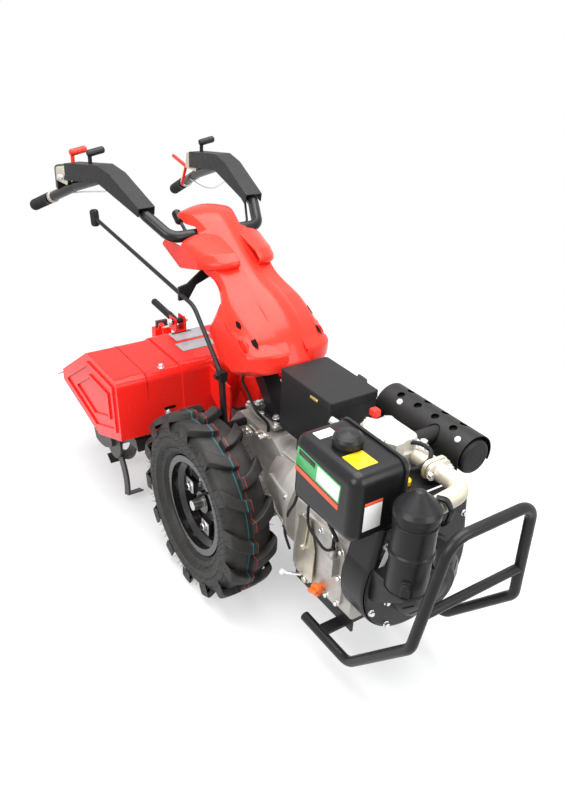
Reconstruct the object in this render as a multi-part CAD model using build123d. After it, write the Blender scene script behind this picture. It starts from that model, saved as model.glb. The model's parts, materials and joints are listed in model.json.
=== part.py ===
from build123d import *
import math
import os

# Driving dimensions in millimetres. X points forward, Y to the machine's left, Z up.
# Every piece is drawn about the point on the ground under the middle of the axle.

# Wheels: a 5.00-10 field tyre on a bolted steel rim
TYRE_OD = 520.0
TYRE_WIDTH = 132.0
WHEEL_Y = 225.0
LUG_HEIGHT = 20.0
LUG_WIDTH = 38.0
LUG_SWEEP = 40.0
LUG_OVERLAP = 6.0
LUG_ROOT = 26.0
LUG_EDGE = 14.0
LUG_SLOPE_DEG = -30.0
TYRE_SHOULDER = 16.0
TYRE_FACETS = 36
LUGS_PER_SIDE = 14
TYRE_WALL = 12.0
RIM_SEAT_R = 127.0
RIM_FLANGE_R = 141.0
RIM_WIDTH = 88.0
RIM_SHEET = 4.0
WHEEL_BOLTS = 4
WHEEL_BOLT_R = 84.0
AXLE_R = 15.0
RUNNING_GAP = 0.08
BODY_GAP = 0.4

# Engine and gearbox line
CRANK_Z = 346.0
CASE_HALF_WIDTH = 72.0
CASE_REAR_X = -135.0
CASE_FRONT_X = 125.0
CASE_TOP_Z = 455.0
CASE_LOW_Z = 178.0
AXLE_TUBE_R = 46.0
AXLE_TUBE_Y = 128.0
BELL_FRONT_X = 262.0
BELL_R = 146.0
BELL_RIBS = 10
ENGINE_FRONT_X = 500.0
ENGINE_BASE_Z = 184.0
ENGINE_HALF_WIDTH = 116.0
SIDE_COVER = 8.0
CYLINDER_X = 432.0
CYLINDER_BASE_Z = 452.0
HEAD_BASE_Z = 570.0
HEAD_TOP_Z = 618.0
COVER_TOP_Z = 652.0
FAN_R = 156.0
FAN_DEPTH = 82.0
SHROUD_SHEET = 3.0
STARTER_R = 96.0
STARTER_DEPTH = 62.0
PUMP_X, PUMP_TOP_Z = 440.0, 372.0

# Front guard and engine bed
GUARD_TUBE_R = 12.5
GUARD_WALL = 2.5
GUARD_FRONT_X = 757.0
GUARD_HALF_WIDTH = 155.0
GUARD_TOP_HALF = 115.0
RAIL_Z = 121.0
RAIL_REAR_X = 380.0
BED_BAR_X = 455.0
BED_BAR_HALF = 16.0
GUARD_BEND_R = 48.0
BED_X = (BELL_FRONT_X, ENGINE_FRONT_X - 2)

# Tank, air cleaner, muffler, battery box
TANK_X = (385.0, 600.0)
TANK_Y = (-228.0, -74.0)
TANK_Z = (522.0, 690.0)
TANK_STRAP = 6.0
TANK_ROUND = 26.0
TANK_SHEET = 2.0
CAP_X, CAP_Y, CAP_R = 488.0, -164.0, 33.0
CLEANER_X, CLEANER_Y, CLEANER_R = 658.0, -112.0, 50.0
CLEANER_Z = (414.0, 664.0)
MUFFLER_X = (228.0, 536.0)
MUFFLER_Y, MUFFLER_Z, MUFFLER_R = 186.0, 570.0, 44.0
SHIELD_GAP, SHIELD_SHEET, SHIELD_DROP = 9.0, 1.6, 22.0
SHIELD_HOLES = (286.0, 347.0, 408.0, 469.0)
SHIELD_HOLE_R = 10.0
SHIELD_HOLE_TILT = 18.0
EXHAUST_R, EXHAUST_Z = 19.0, 594.0
MUFFLER_SHEET = 2.5
HEAD_HALF = 68.0
BATTERY_X = (92.0, 300.0)
BATTERY_Y = (-63.0, 78.0)
BATTERY_Z = (502.0, 665.0)

# Handlebar and cowl
PIVOT_X, PIVOT_Z = -350.0, 882.0
BAR_R = 16.0
BAR_WALL = 2.5
CLAMP_HALF_WIDTH = 45.0
GRIP_R = 19.0
ARM_HALF = 26.0
ARM_SHEET = 3.0
ARM_YAW_DEG = 5.7
ARM_ELBOW_R = 34.0
KNOB_STALK = 30.0
KNOB_LENGTH = 56.0
GRIP_LENGTH = 128.0
BAR_ELBOWS = [(PIVOT_X, 138.0, PIVOT_Z), (-432.0, 172.0, 925.0), (-640.0, 186.0, 990.0), (-850.0, 214.0, 915.0)]
GRIP_END = (-1122.0, 262.0, 794.0)
COWL_SHEET = 4.0
COWL_BOX_GAP = 14.0
COWL_NOSE_X = BATTERY_X[0] - COWL_BOX_GAP
COWL_LOW_Z = 596.0
COWL_SHOULDER_R = 14.0
COWL_OVERCUT = 20.0
COWL_CORNER_R = 12.0
COWL_BAR_GAP = 8.0
COWL_LEAVES = ((-66.0, 726.0, 27.0), (4.0, 700.0, 23.0))
LEAF_BULGE = 9.0
SPINE_SLOPE_DEG = 28.0

# Rotary tiller
TILLER_HALF_WIDTH = 348.0
TILLER_SEAM_Y = 250.0
TILLER_SHEET = 3.5
HOOD_TOP_Z = 513.0
HOOD_RAISE = 5.0
HOOD_PANEL_Y = 140.0
PRESSING = 5.0
ROTOR_X, ROTOR_Z = -505.0, 200.0
TINE_R = 190.0
ROTOR_SHAFT_R = 22.0
FLANGE_YS = (110.0, 196.0, 282.0)
TINES_PER_FLANGE = 4
TINE_SHEET = 7.0
TINE_FOOT = 52.0
TINE_STEP_DEG = 30.0
FLANGE_R = 62.0
HITCH_X = -172.0
HITCH_Z = 300.0
HOOD_REAR_X = -752.0
HOOD_LIP_Z = 318.0
TILLER_CASE_HALF = 34.0
DRIVE_TUBE_R = 44.0
FLAP_HINGE = (HOOD_REAR_X - 16, 338.0)
FLAP_PIN_R = 5.0
FLAP_LENGTH = 104.0
FLAP_HALF = 328.0
FLAP_SHEET = 3.0
FLAP_DROP_DEG = 30.0
FLAP_LUG_GAP = 6.0
LUG_YS = (60.0, 200.0)
LUG_HALF = 6.0
SKID_X = -722.0
SKID_TOP_Z = 470.0
LEVER_Y = -34.0

AXLE_Z = TYRE_OD / 2


def box(x, y, z):
    """Block between pairs of limits."""
    size = [b - a for a, b in (x, y, z)]
    return Pos(*[(a + b) / 2 for a, b in (x, y, z)]) * Box(*size)


def rod_x(r, x0, x1, y, z):
    return Pos((x0 + x1) / 2, y, z) * Rot(0, 90, 0) * Cylinder(r, abs(x1 - x0))


def rod_y(r, y0, y1, x, z):
    return Pos(x, (y0 + y1) / 2, z) * Rot(90, 0, 0) * Cylinder(r, abs(y1 - y0))


def rod_z(r, z0, z1, x, y):
    return Pos(x, y, (z0 + z1) / 2) * Cylinder(r, abs(z1 - z0))


def side_prism(points, y0, y1, radius=0.0):
    """Side outline in X and Z carried across from y0 to y1."""
    face = make_face(Polyline(*points, close=True))
    if radius:
        face = fillet(face.vertices(), radius)
    return extrude(Plane.XZ.offset(-y0) * face, amount=y1 - y0, dir=(0, 1, 0))


def front_prism(points, x0, x1, radius=0.0):
    """Front outline in Y and Z carried forward from x0 to x1."""
    face = make_face(Polyline(*points, close=True))
    if radius:
        face = fillet(face.vertices(), radius)
    return extrude(Plane.YZ.offset(x0) * face, amount=x1 - x0, dir=(1, 0, 0))


def bent_tube(points, radius, r, wall=0.0):
    """Round tube or bar bent along straight runs with equal arcs."""
    path = FilletPolyline(*points, radius=radius) if len(points) > 2 else Line(*points)
    section = Circle(r) - Circle(r - wall) if wall else Circle(r)
    return sweep(Plane(origin=path @ 0, z_dir=path % 0) * section, path=path)


def mirrored(shape):
    return mirror(shape, about=Plane.XZ)


def turned(points, x, y):
    """Ring of a radius and height outline turned about an upright axis at x, y."""
    return Pos(x, y, 0) * revolve(Plane.XZ * make_face(Polyline(*points, close=True)), Axis.Z)


def turned_x(points, y, z):
    """Ring of an X and radius outline turned about a lengthwise axis at y, z."""
    face = make_face(Polyline(*points, close=True))
    return Pos(0, y, z) * revolve(face, Axis.X)


def turned_y(points):
    """Ring of a radius and Y outline turned about the Y axis."""
    return revolve(make_face(Polyline(*points, close=True)), Axis.Y)


def rounded_box(x, y, z, radius, edges=None):
    body = box(x, y, z)
    chosen = body.edges() if edges is None else body.edges().filter_by(edges)
    return fillet(chosen, radius)


# Wheels

def facet_drum(r0, y0, r1, y1):
    """Many sided drum from radius r0 at y0 to radius r1 at y1."""
    ends = ((r0, y0), (r1, y1))
    return loft([Plane.XZ.offset(-y) * RegularPolygon(r, TYRE_FACETS) for r, y in ends], ruled=True)


def facet_ring(crown, bulge, lip, half, edge, seat):
    """Tyre shaped ring: flat crown, sides out to the bulge and hollow dishes down to the lip."""
    ring = facet_drum(crown, -edge, crown, edge)
    for side in (-1, 1):
        ring += facet_drum(crown, side * edge, bulge, side * half)
    for side in (-1, 1):
        ring -= facet_drum(lip, side * seat, bulge, side * half)
    return ring


def tyre():
    """Hollow carcass with a flat crown and two staggered rows of slanted lugs."""
    crown = TYRE_OD / 2 - LUG_HEIGHT
    half = TYRE_WIDTH / 2
    seat = RIM_WIDTH / 2 - RIM_SHEET
    bulge = TYRE_OD * 0.38
    lip = RIM_FLANGE_R + 3
    w = TYRE_WALL
    carcass = facet_ring(crown, bulge, lip, half, half - TYRE_SHOULDER, seat)
    carcass -= facet_ring(crown - w, bulge - 4, lip, half - w, half - TYRE_SHOULDER - w, seat - w)
    carcass -= rod_y(RIM_SEAT_R, -half, half, 0, 0)
    footprint = [(LUG_SWEEP - 14, -LUG_OVERLAP), (LUG_SWEEP - 34, half * 0.36), (-LUG_WIDTH / 2, half),
                 (LUG_WIDTH / 2, half), (LUG_SWEEP, half * 0.4), (LUG_SWEEP + 12, -LUG_OVERLAP)]
    low = crown - LUG_ROOT
    flat = math.sqrt((TYRE_OD / 2) ** 2 - (LUG_SWEEP + 12) ** 2)
    bar = extrude(Pos(0, 0, low) * make_face(Polyline(*footprint, close=True)), amount=flat - low)
    bar -= Pos(0, half, flat) * Rot(LUG_SLOPE_DEG, 0, 0) * Box(4 * LUG_WIDTH, 2 * LUG_EDGE, LUG_EDGE)
    pitch = 360 / LUGS_PER_SIDE
    lugs = [Rot(0, pitch * k, 0) * bar for k in range(LUGS_PER_SIDE)]
    lugs += [Rot(0, pitch * (k + 0.5), 0) * mirrored(bar) for k in range(LUGS_PER_SIDE)]
    return carcass + lugs


def rim():
    """Drop centre barrel with bolted tabs inside it."""
    half = RIM_WIDTH / 2
    seat, drop, t = RIM_SEAT_R, RIM_SEAT_R - 14, RIM_SHEET
    outer = [(RIM_FLANGE_R, -half), (RIM_FLANGE_R, -half + t), (seat, -half + t), (seat, -half + 22),
             (drop, -half + 34), (drop, half - 34), (seat, half - 22), (seat, half - t),
             (RIM_FLANGE_R, half - t), (RIM_FLANGE_R, half)]
    inner = [(seat - t, half), (seat - t, half - 20), (drop - t, half - 32), (drop - t, 32 - half),
             (seat - t, 20 - half), (seat - t, -half)]
    barrel = turned_y(outer + inner)
    for k in range(WHEEL_BOLTS):
        tab = box((WHEEL_BOLT_R - 16, drop - t / 2), (-4, 4), (-22, 22))
        barrel += Rot(0, 360 / WHEEL_BOLTS * k, 0) * tab
        barrel -= Rot(0, 360 / WHEEL_BOLTS * k, 0) * rod_y(6, -9, 9, WHEEL_BOLT_R, 0)
    return barrel


HUB_PLATE = 8.0
HUB_SLEEVE_R = 31.0
HUB_NOSE = 14.0


def hub(side):
    """Star plate and sleeve that carry the rim on its axle; inboard is towards the gearbox."""
    inboard = -side
    face = inboard * 4
    plate = rod_y(58, face, face + inboard * HUB_PLATE, 0, 0)
    for k in range(WHEEL_BOLTS):
        arm = box((0, WHEEL_BOLT_R + 16), sorted((face, face + inboard * HUB_PLATE)), (-20, 20))
        plate += Rot(0, 360 / WHEEL_BOLTS * k, 0) * arm
    sleeve_end = inboard * (WHEEL_Y - AXLE_TUBE_Y - BODY_GAP)
    plate += rod_y(HUB_SLEEVE_R, -inboard * HUB_NOSE, sleeve_end, 0, 0)
    for k in range(WHEEL_BOLTS):
        turn = Rot(0, 360 / WHEEL_BOLTS * k, 0)
        plate += turn * rod_y(5.6, -inboard * 18, face, WHEEL_BOLT_R, 0)
        plate += turn * rod_y(9.5, -inboard * 12, -inboard * 4, WHEEL_BOLT_R, 0)
    return plate - rod_y(AXLE_R, -WHEEL_Y, WHEEL_Y, 0, 0)


AXLE_STUB = 30.0
AXLE_STUB_R = 14.0
AXLE_INNER_Y = 20.0


def axle(side):
    """Shaft from inside the gearbox, through the hub, ending in a free stub."""
    shoulder = side * HUB_NOSE
    shaft = rod_y(AXLE_R, side * (AXLE_INNER_Y - WHEEL_Y), shoulder, 0, 0)
    return shaft + rod_y(AXLE_STUB_R, shoulder, side * (HUB_NOSE + AXLE_STUB), 0, 0)


def wheel_place(shape, side):
    return Pos(0, side * WHEEL_Y, AXLE_Z) * shape


# Gearbox

def gearbox():
    outline = [(CASE_REAR_X, 232), (CASE_REAR_X, 400), (-92, CASE_TOP_Z), (80, CASE_TOP_Z), (CASE_FRONT_X, 430),
               (CASE_FRONT_X, 236), (62, CASE_LOW_Z), (-82, CASE_LOW_Z)]
    case = side_prism(outline, -CASE_HALF_WIDTH, CASE_HALF_WIDTH, 22)
    seam = offset(fillet(make_face(Polyline(*outline, close=True)).vertices(), 22), 11)
    case += extrude(Plane.XZ.offset(7) * seam, amount=14, dir=(0, 1, 0))
    bell = [(CASE_FRONT_X - 20, 0), (CASE_FRONT_X - 20, 100), (BELL_FRONT_X - 60, BELL_R - 16),
            (BELL_FRONT_X - 14, BELL_R - 12), (BELL_FRONT_X - 14, BELL_R), (BELL_FRONT_X, BELL_R),
            (BELL_FRONT_X, 0)]
    case += turned_x(bell, 0, CRANK_Z)
    for k in range(BELL_RIBS):
        rib = side_prism([(CASE_FRONT_X, 80), (CASE_FRONT_X, 116), (BELL_FRONT_X - 14, BELL_R - 2),
                          (BELL_FRONT_X - 14, 80)], -4, 4)
        case += Pos(0, 0, CRANK_Z) * Rot(360 / BELL_RIBS * k, 0, 0) * rib
    for side in (-1, 1):
        case += rod_y(AXLE_TUBE_R, side * CASE_HALF_WIDTH, side * AXLE_TUBE_Y, 0, AXLE_Z)
        case += rod_y(AXLE_TUBE_R + 14, side * CASE_HALF_WIDTH, side * (CASE_HALF_WIDTH + 12), 0, AXLE_Z)
    case += box((HITCH_X, CASE_REAR_X), (-58, 58), (HITCH_Z - 62, HITCH_Z + 62))
    case -= rod_y(AXLE_R + RUNNING_GAP, -AXLE_TUBE_Y - 1, AXLE_TUBE_Y + 1, 0, AXLE_Z)
    return case


TOP_COVER_Z = 475.0


def gearbox_cover():
    lid = box((-84, 66), (-56, 56), (CASE_TOP_Z + 11, TOP_COVER_Z))
    return lid


# Engine

def engine_block():
    """Crankcase with a raised timing cover on the right and stiffening ribs on the left."""
    half = ENGINE_HALF_WIDTH
    outline = [(-half, ENGINE_BASE_Z), (-half, 396), (-72, CYLINDER_BASE_Z), (72, CYLINDER_BASE_Z), (half, 396),
               (half, ENGINE_BASE_Z)]
    block = front_prism(outline, BELL_FRONT_X, ENGINE_FRONT_X, 16)
    cover = rounded_box((292, 470), (-half - SIDE_COVER, -half), (ENGINE_BASE_Z + 16, 388), 30, Axis.Y)
    block += cover
    for x in range(300, 480, 36):
        block += box((x - 3, x + 3), (half, half + SIDE_COVER), (ENGINE_BASE_Z + 20, 380))
    return block


def governor_plate():
    """Speed plate on spacers beside the timing cover, with its lever."""
    y = -ENGINE_HALF_WIDTH - SIDE_COVER
    low = ENGINE_BASE_Z + 26
    outline = [(296, low), (296, low + 86), (308, low + 176), (346, low + 176), (372, low + 104), (372, low)]
    plate = side_prism(outline, y - 12, y - 9, 8)
    for x, z in ((310, low + 14), (358, low + 14), (328, low + 158)):
        plate += rod_y(6, y, y - 9, x, z)
    plate += rod_y(7, y - 12, y - 24, 332, low + 92)
    plate += side_prism([(326, low + 86), (338, low + 86), (352, low + 196), (344, low + 198)], y - 20, y - 16)
    return plate


def oil_filler():
    y = -ENGINE_HALF_WIDTH - SIDE_COVER
    cap = rod_y(11, y, y - 12, 402, ENGINE_BASE_Z + 36)
    return cap + fillet(rod_y(17, y - 12, y - 26, 402, ENGINE_BASE_Z + 36).edges(), 3)


def injection_pump():
    y = -ENGINE_HALF_WIDTH - SIDE_COVER
    body = box((424, 456), (y - 22, y), (300, 350))
    return body + rod_z(9, 350, PUMP_TOP_Z, PUMP_X, y - 11)


def fuel_hose():
    """Rubber hose from the underside of the tank to the injection pump."""
    y = -ENGINE_HALF_WIDTH - SIDE_COVER - 11
    return bent_tube([(PUMP_X + 16, -168, TANK_Z[0]), (PUMP_X + 16, -168, 470), (PUMP_X + 40, -158, 430),
                      (PUMP_X, y, 402), (PUMP_X, y, PUMP_TOP_Z)], 13, 4.5)


def starter_motor():
    """Electric starter beside the crankcase, flanged to the back of the fan housing."""
    y, z = ENGINE_HALF_WIDTH + SIDE_COVER + 34, 322
    motor = rod_x(32, 372, ENGINE_FRONT_X, y, z)
    return motor + rod_x(16, 372, 470, y - 6, z + 42)


def decompression_lever():
    """Red lever on a short stem at the back of the cylinder head."""
    x = CYLINDER_X - 61
    stem = rod_z(6, HEAD_TOP_Z, HEAD_TOP_Z + 34, x, 8)
    return stem + rounded_box((x - 9, x + 13), (-2, 18), (HEAD_TOP_Z + 34, HEAD_TOP_Z + 52), 4)


def cylinder():
    """Finned barrel between crankcase and head."""
    barrel = rod_z(52, CYLINDER_BASE_Z, HEAD_BASE_Z, CYLINDER_X, 0)
    pitch = 12
    count = int((HEAD_BASE_Z - CYLINDER_BASE_Z) / pitch)
    for k in range(count):
        z = CYLINDER_BASE_Z + 4 + k * pitch
        barrel += box((CYLINDER_X - 66, CYLINDER_X + 64), (-66, 66), (z, z + 4))
    return barrel


def cylinder_head():
    return rounded_box((CYLINDER_X - 68, CYLINDER_X + 64), (-HEAD_HALF, HEAD_HALF), (HEAD_BASE_Z, HEAD_TOP_Z), 12,
                       Axis.Z)


def valve_cover():
    body = rounded_box((CYLINDER_X - 52, CYLINDER_X + 54), (-46, 46), (HEAD_TOP_Z, COVER_TOP_Z), 14, Axis.Z)
    return fillet(body.edges().group_by(Axis.Z)[-1], 10)


def fan_housing():
    """Blower shroud: round about the flywheel, drawn up around the cylinder."""
    x0, x1 = ENGINE_FRONT_X, ENGINE_FRONT_X + FAN_DEPTH
    drum = rod_x(FAN_R, x0, x1, 0, CRANK_Z)
    shelf = TANK_Z[0] - TANK_STRAP
    duct = front_prism([(-FAN_R, CRANK_Z), (-122, shelf), (-69, shelf), (-66, 576), (76, 576), (132, 520),
                        (FAN_R, CRANK_Z)], x0, x1)
    body = drum + duct
    body = fillet(body.faces().sort_by(Axis.X)[-1].edges(), 14)
    t = SHROUD_SHEET
    room = rod_x(FAN_R - t, x0, x1 - t, 0, CRANK_Z)
    room += front_prism([(2 * t - FAN_R, CRANK_Z), (t - 120, shelf - t), (t - 66, shelf - t), (t - 63, 576 - t),
                         (74 - t, 576 - t), (130 - t, 520 - t), (FAN_R - 2 * t, CRANK_Z)], x0, x1 - t)
    return body - room


def recoil_starter():
    x0 = ENGINE_FRONT_X + FAN_DEPTH
    x1 = x0 + STARTER_DEPTH
    dish = [(x0, 0), (x0, STARTER_R + 8), (x0 + 8, STARTER_R + 8), (x0 + 8, STARTER_R), (x1 - 22, STARTER_R - 6),
            (x1, STARTER_R - 40), (x1, 0)]
    return turned_x(dish, 0, CRANK_Z)


def engine_bed():
    """Pressed channel under the crankcase, welded to the guard's rails."""
    top = box(BED_X, (-104, 104), (ENGINE_BASE_Z - 8, ENGINE_BASE_Z))
    for side in (-1, 1):
        top += box(BED_X, sorted((side * 98, side * 104)), (RAIL_Z + GUARD_TUBE_R + 8, ENGINE_BASE_Z - 8))
    level = RAIL_Z + GUARD_TUBE_R
    return top + box((BED_BAR_X - BED_BAR_HALF, BED_BAR_X + BED_BAR_HALF), (-GUARD_HALF_WIDTH, GUARD_HALF_WIDTH),
                     (level, level + 8))


def guard_points(side):
    return [(RAIL_REAR_X, side * GUARD_HALF_WIDTH, RAIL_Z), (556, side * GUARD_HALF_WIDTH, RAIL_Z),
            (GUARD_FRONT_X - 20, side * GUARD_HALF_WIDTH, 330), (GUARD_FRONT_X, side * GUARD_TOP_HALF, 610)]


def front_guard(wall=GUARD_WALL):
    points = guard_points(-1) + guard_points(1)[::-1]
    return bent_tube(points, GUARD_BEND_R, GUARD_TUBE_R, wall)


GUARD_BAR_Z = 420.0


def guard_crossbar():
    """Bar welded between the posts of the guard."""
    low, high = guard_points(1)[2:]
    share = (GUARD_BAR_Z - low[2]) / (high[2] - low[2])
    x = low[0] + share * (high[0] - low[0])
    y = low[1] + share * (high[1] - low[1])
    return rod_y(GUARD_TUBE_R - 1.5, -y, y, x, GUARD_BAR_Z) - front_guard(wall=0)


def fuel_tank():
    tank = fillet(box(TANK_X, TANK_Y, TANK_Z).edges(), TANK_ROUND)
    limits = [(a + TANK_SHEET, b - TANK_SHEET) for a, b in (TANK_X, TANK_Y, TANK_Z)]
    return tank - fillet(box(*limits).edges(), TANK_ROUND - TANK_SHEET)


def fuel_cap():
    """Domed cap over the filler neck."""
    z, r = TANK_Z[1], CAP_R
    outline = [(0, z), (r - 4, z), (r - 4, z + 4), (r, z + 6), (r, z + 18), (r - 3, z + 25), (r - 10, z + 30), (0, z + 34)]
    return turned(outline, CAP_X, CAP_Y)


def air_cleaner():
    z0, z1 = CLEANER_Z
    r = CLEANER_R
    profile = [(0, z0), (r - 12, z0), (r - 5, z0 + 10), (r - 5, z0 + 92), (r - 1, z0 + 96), (r - 1, z0 + 106),
               (r - 4, z0 + 110), (r - 4, z1 - 62), (r, z1 - 58), (r, z1 - 44), (r - 6, z1 - 34),
               (10, z1 - 2), (0, z1)]
    return turned(profile, CLEANER_X, CLEANER_Y)


def intake_elbow():
    return bent_tube([(CYLINDER_X + 64, 34, 596 + 8), (646, 34, 604), (CLEANER_X, CLEANER_Y + 40, 604)], 42, 21)


def cleaner_bracket():
    """Shelf under the air cleaner with two gussets on the face of the fan housing."""
    z = CLEANER_Z[0]
    x0 = ENGINE_FRONT_X + FAN_DEPTH
    shelf = box((x0, CLEANER_X + 26), (CLEANER_Y - 24, CLEANER_Y + 14), (z - 4, z))
    for y in (CLEANER_Y - 24, CLEANER_Y - 8):
        shelf += side_prism([(x0, z - 4), (x0, z - 84), (x0 + 14, z - 84), (CLEANER_X + 20, z - 16),
                             (CLEANER_X + 20, z - 4)], y, y + 4)
    return shelf


def muffler():
    x0, x1 = MUFFLER_X
    drum = rod_x(MUFFLER_R, x0, x1, MUFFLER_Y, MUFFLER_Z)
    drum = fillet(drum.edges(), 10)
    t = MUFFLER_SHEET
    return drum - fillet(rod_x(MUFFLER_R - t, x0 + t, x1 - t, MUFFLER_Y, MUFFLER_Z).edges(), 10 - t)


def exhaust_pipe():
    return rod_y(EXHAUST_R, HEAD_HALF, MUFFLER_Y, CYLINDER_X, EXHAUST_Z)


def heat_shield():
    """Sheet wrapped round the upper and outer side of the muffler on two saddles."""
    x0, x1 = MUFFLER_X[0] + 6, MUFFLER_X[1] - 6
    y, z = MUFFLER_Y, MUFFLER_Z
    r = MUFFLER_R + SHIELD_GAP
    sheet = rod_x(r + SHIELD_SHEET, x0, x1, y, z) - rod_x(r, x0, x1, y, z)
    for x in (x0 + 24, x1 - 34):
        sheet += rod_x(r, x, x + 10, y, z) - rod_x(MUFFLER_R, x, x + 10, y, z)
    sheet &= box((x0, x1), (y - 2 * r, y + 2 * r), (z - SHIELD_DROP, z + 2 * r))
    for hole_x in SHIELD_HOLES:
        for tilt in (-SHIELD_HOLE_TILT, SHIELD_HOLE_TILT):
            sheet -= Pos(hole_x, y, z) * Rot(tilt, 0, 0) * rod_z(SHIELD_HOLE_R, MUFFLER_R, 2 * r, 0, 0)
    return sheet - rod_y(EXHAUST_R + 3, 0, y, CYLINDER_X, EXHAUST_Z)


def tank_bracket(block):
    """Strap under the tank, standing on the crankcase shoulder."""
    x = (TANK_X[0] + 20, TANK_X[0] + 50)
    z = TANK_Z[0]
    across, level = (-200, -HEAD_HALF - 4), (z - TANK_STRAP, z)
    near = box(x, across, level) + box(x, (across[1] - 8, across[1]), (400, level[0])) - block
    return near + box((TANK_X[1] - 60, TANK_X[1] - 36), across, level)


def battery_stand(case):
    """Upright frame between the clutch bell and the battery box."""
    return box((150, 240), (-44, 44), (420, BATTERY_Z[0])) - case


def battery_box():
    body = rounded_box(BATTERY_X, BATTERY_Y, BATTERY_Z, 6, Axis.Z)
    return body


# Column, handlebar and cowl

def column():
    """Square tube leaning back from the gearbox cover to the handlebar clamp."""
    foot = box((-60, 46), (-44, 44), (TOP_COVER_Z, TOP_COVER_Z + 10))
    top = (PIVOT_X, PIVOT_Z)
    post = side_prism([(-30, TOP_COVER_Z + 10), (26, TOP_COVER_Z + 10), (top[0] + 34, top[1] - 16),
                       (top[0] - 12, top[1] - 34)], -24, 24)
    clamp = rod_y(BAR_R + 14, -CLAMP_HALF_WIDTH, CLAMP_HALF_WIDTH, *top)
    return foot + post + clamp - rod_y(BAR_R + RUNNING_GAP, -CLAMP_HALF_WIDTH - 1, CLAMP_HALF_WIDTH + 1, *top)


def bar_points(side):
    return [(x, side * y, z) for x, y, z in BAR_ELBOWS + [GRIP_END]]


def handlebar():
    points = bar_points(-1)[::-1] + bar_points(1)
    return bent_tube(points, 38, BAR_R, BAR_WALL)


def grip(side):
    end, before = bar_points(side)[-1], bar_points(side)[-2]
    axis = Vector(*before) - Vector(*end)
    plane = Plane(origin=end, z_dir=axis)
    sleeve = Pos(0, 0, GRIP_LENGTH / 2 - 8) * Cylinder(GRIP_R, GRIP_LENGTH)
    sleeve -= Pos(0, 0, GRIP_LENGTH / 2) * Cylinder(BAR_R, GRIP_LENGTH)
    return plane * sleeve


def arm_outline():
    """Side outline of an arm cover from its low front end, over the elbow, to its open rear."""
    return [(0, 0), (4, 24), (-150, 84), (-224, 94), (-436, 58), (-436, 6), (-226, 44)]


def arm_top(x):
    """Height of an arm cover's upper face at x, behind the elbow."""
    x0, _, z0 = bar_points(1)[1]
    (xa, za), (xb, zb) = arm_outline()[3:5]
    return z0 + za + (x - x0 - xa) / (xb - xa) * (zb - za)


def arm_middle(side, x):
    x0, y0, _ = bar_points(side)[1]
    return y0 + side * math.tan(math.radians(ARM_YAW_DEG)) * (x0 - x)


def rounded_elbow(points, radius):
    """Face of an arm outline with the corners about its elbow rounded."""
    face = make_face(Polyline(*points, close=True))
    return fillet([v for v in face.vertices() if -240 < v.X < -140], radius)


def arm_cover(side, hollow=True):
    """Moulded channel over the elbow of one arm, open below, yawed to follow the bar."""
    points = arm_outline()
    face = rounded_elbow(points, ARM_ELBOW_R)
    shell = extrude(Plane.XZ.offset(ARM_HALF) * face, amount=2 * ARM_HALF, dir=(0, 1, 0))
    t = ARM_SHEET
    rear, roof = points[4][0] - t, points[4][1] - t
    under = [(points[0][0], -90)] + [(x, z - t) for x, z in points[1:4]] + [(rear, roof), (rear, -90)]
    if hollow:
        room = rounded_elbow(under, ARM_ELBOW_R - t)
        shell -= extrude(Plane.XZ.offset(ARM_HALF - t) * room, amount=2 * (ARM_HALF - t), dir=(0, 1, 0))
    x, y, z = bar_points(side)[1]
    return Pos(x, y, z) * Rot(0, 0, -side * ARM_YAW_DEG) * shell


def knob(radius, length):
    """Rounded hand knob standing on the origin along Z."""
    return fillet((Pos(0, 0, length / 2) * Cylinder(radius, length)).edges(), radius * 0.7)


SHIFT_PATH = [(-806, -172, 817), (-222, -140, 732), (-74, -138, 590)]


def shift_rod():
    """Long gear rod along the right side, down to a clevis, link and selector shaft on the gearbox."""
    x, y, z = SHIFT_PATH[-1]
    rod = bent_tube(SHIFT_PATH, 70, 6)
    rod += box((x - 13, x + 13), (y - 10, y + 10), (z - 16, z + 12))
    rod += side_prism([(x - 11, z - 10), (x + 11, z - 10), (x + 30, 446), (x + 8, 430)], y - 4, y + 4)
    return rod + rod_y(11, y - 4, -CASE_HALF_WIDTH, x + 18, 440)


def shift_knob(rod):
    x, y, z = SHIFT_PATH[0]
    return Pos(x - 8, y, z - 26) * Rot(0, -10, 0) * knob(14, 54) - rod


def rod_guide(rod):
    """Plate from the column out to the gear rod."""
    outline = [(-150, 724), (-120, 724), (-96, 762), (-24, 790), (-24, 826), (-44, 826), (-122, 768), (-150, 762)]
    return front_prism(outline, -296, -288) - rod


def speed_lever():
    """Short lever pivoted on the column, reaching out behind the cowl's visor."""
    route = [(-322, -36, 830), (-430, -40, 844), (-484, -44, 882)]
    return bent_tube(route, 30, 5) + rod_y(9, -24, -44, -322, 830)


def speed_knob(lever):
    return Pos(-478, -43.5, 876) * Rot(0, -52, 0) * knob(14, 44) - lever


def control_cables():
    """Two sheathed cables from the column to the gearbox cover's edge."""
    route = [(-210, -28.2, 735), (-120, -28.2, 640), (-50, -88, 570), (30, -94, 520), (44, -62, 478),
             (44, -62, CASE_TOP_Z)]
    pair = bent_tube(route, 24, 4)
    return pair + mirrored(pair)


def bar_cable(side):
    """Clutch cable from under the arm cover, in behind the bar to the cowl's opening."""
    route = [(-540, 179.3, 938.25), (-470, 168, 912), (-392, 128, 880), (-378, 54, 882)]
    return bent_tube([(x, side * y, z) for x, y, z in route], 30, 3.5)


def arm_knob(side, x):
    """Angled knob on the top of an arm cover: a stalk and a handle turned to the machine's left."""
    stalk = Pos(0, 0, KNOB_STALK / 2) * Cylinder(6, KNOB_STALK)
    handle = Pos(0, -9, KNOB_STALK) * Rot(-80, 0, 0) * knob(10.5, KNOB_LENGTH)
    return Pos(x, arm_middle(side, x), arm_top(x) - 2) * (stalk + handle)


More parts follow.
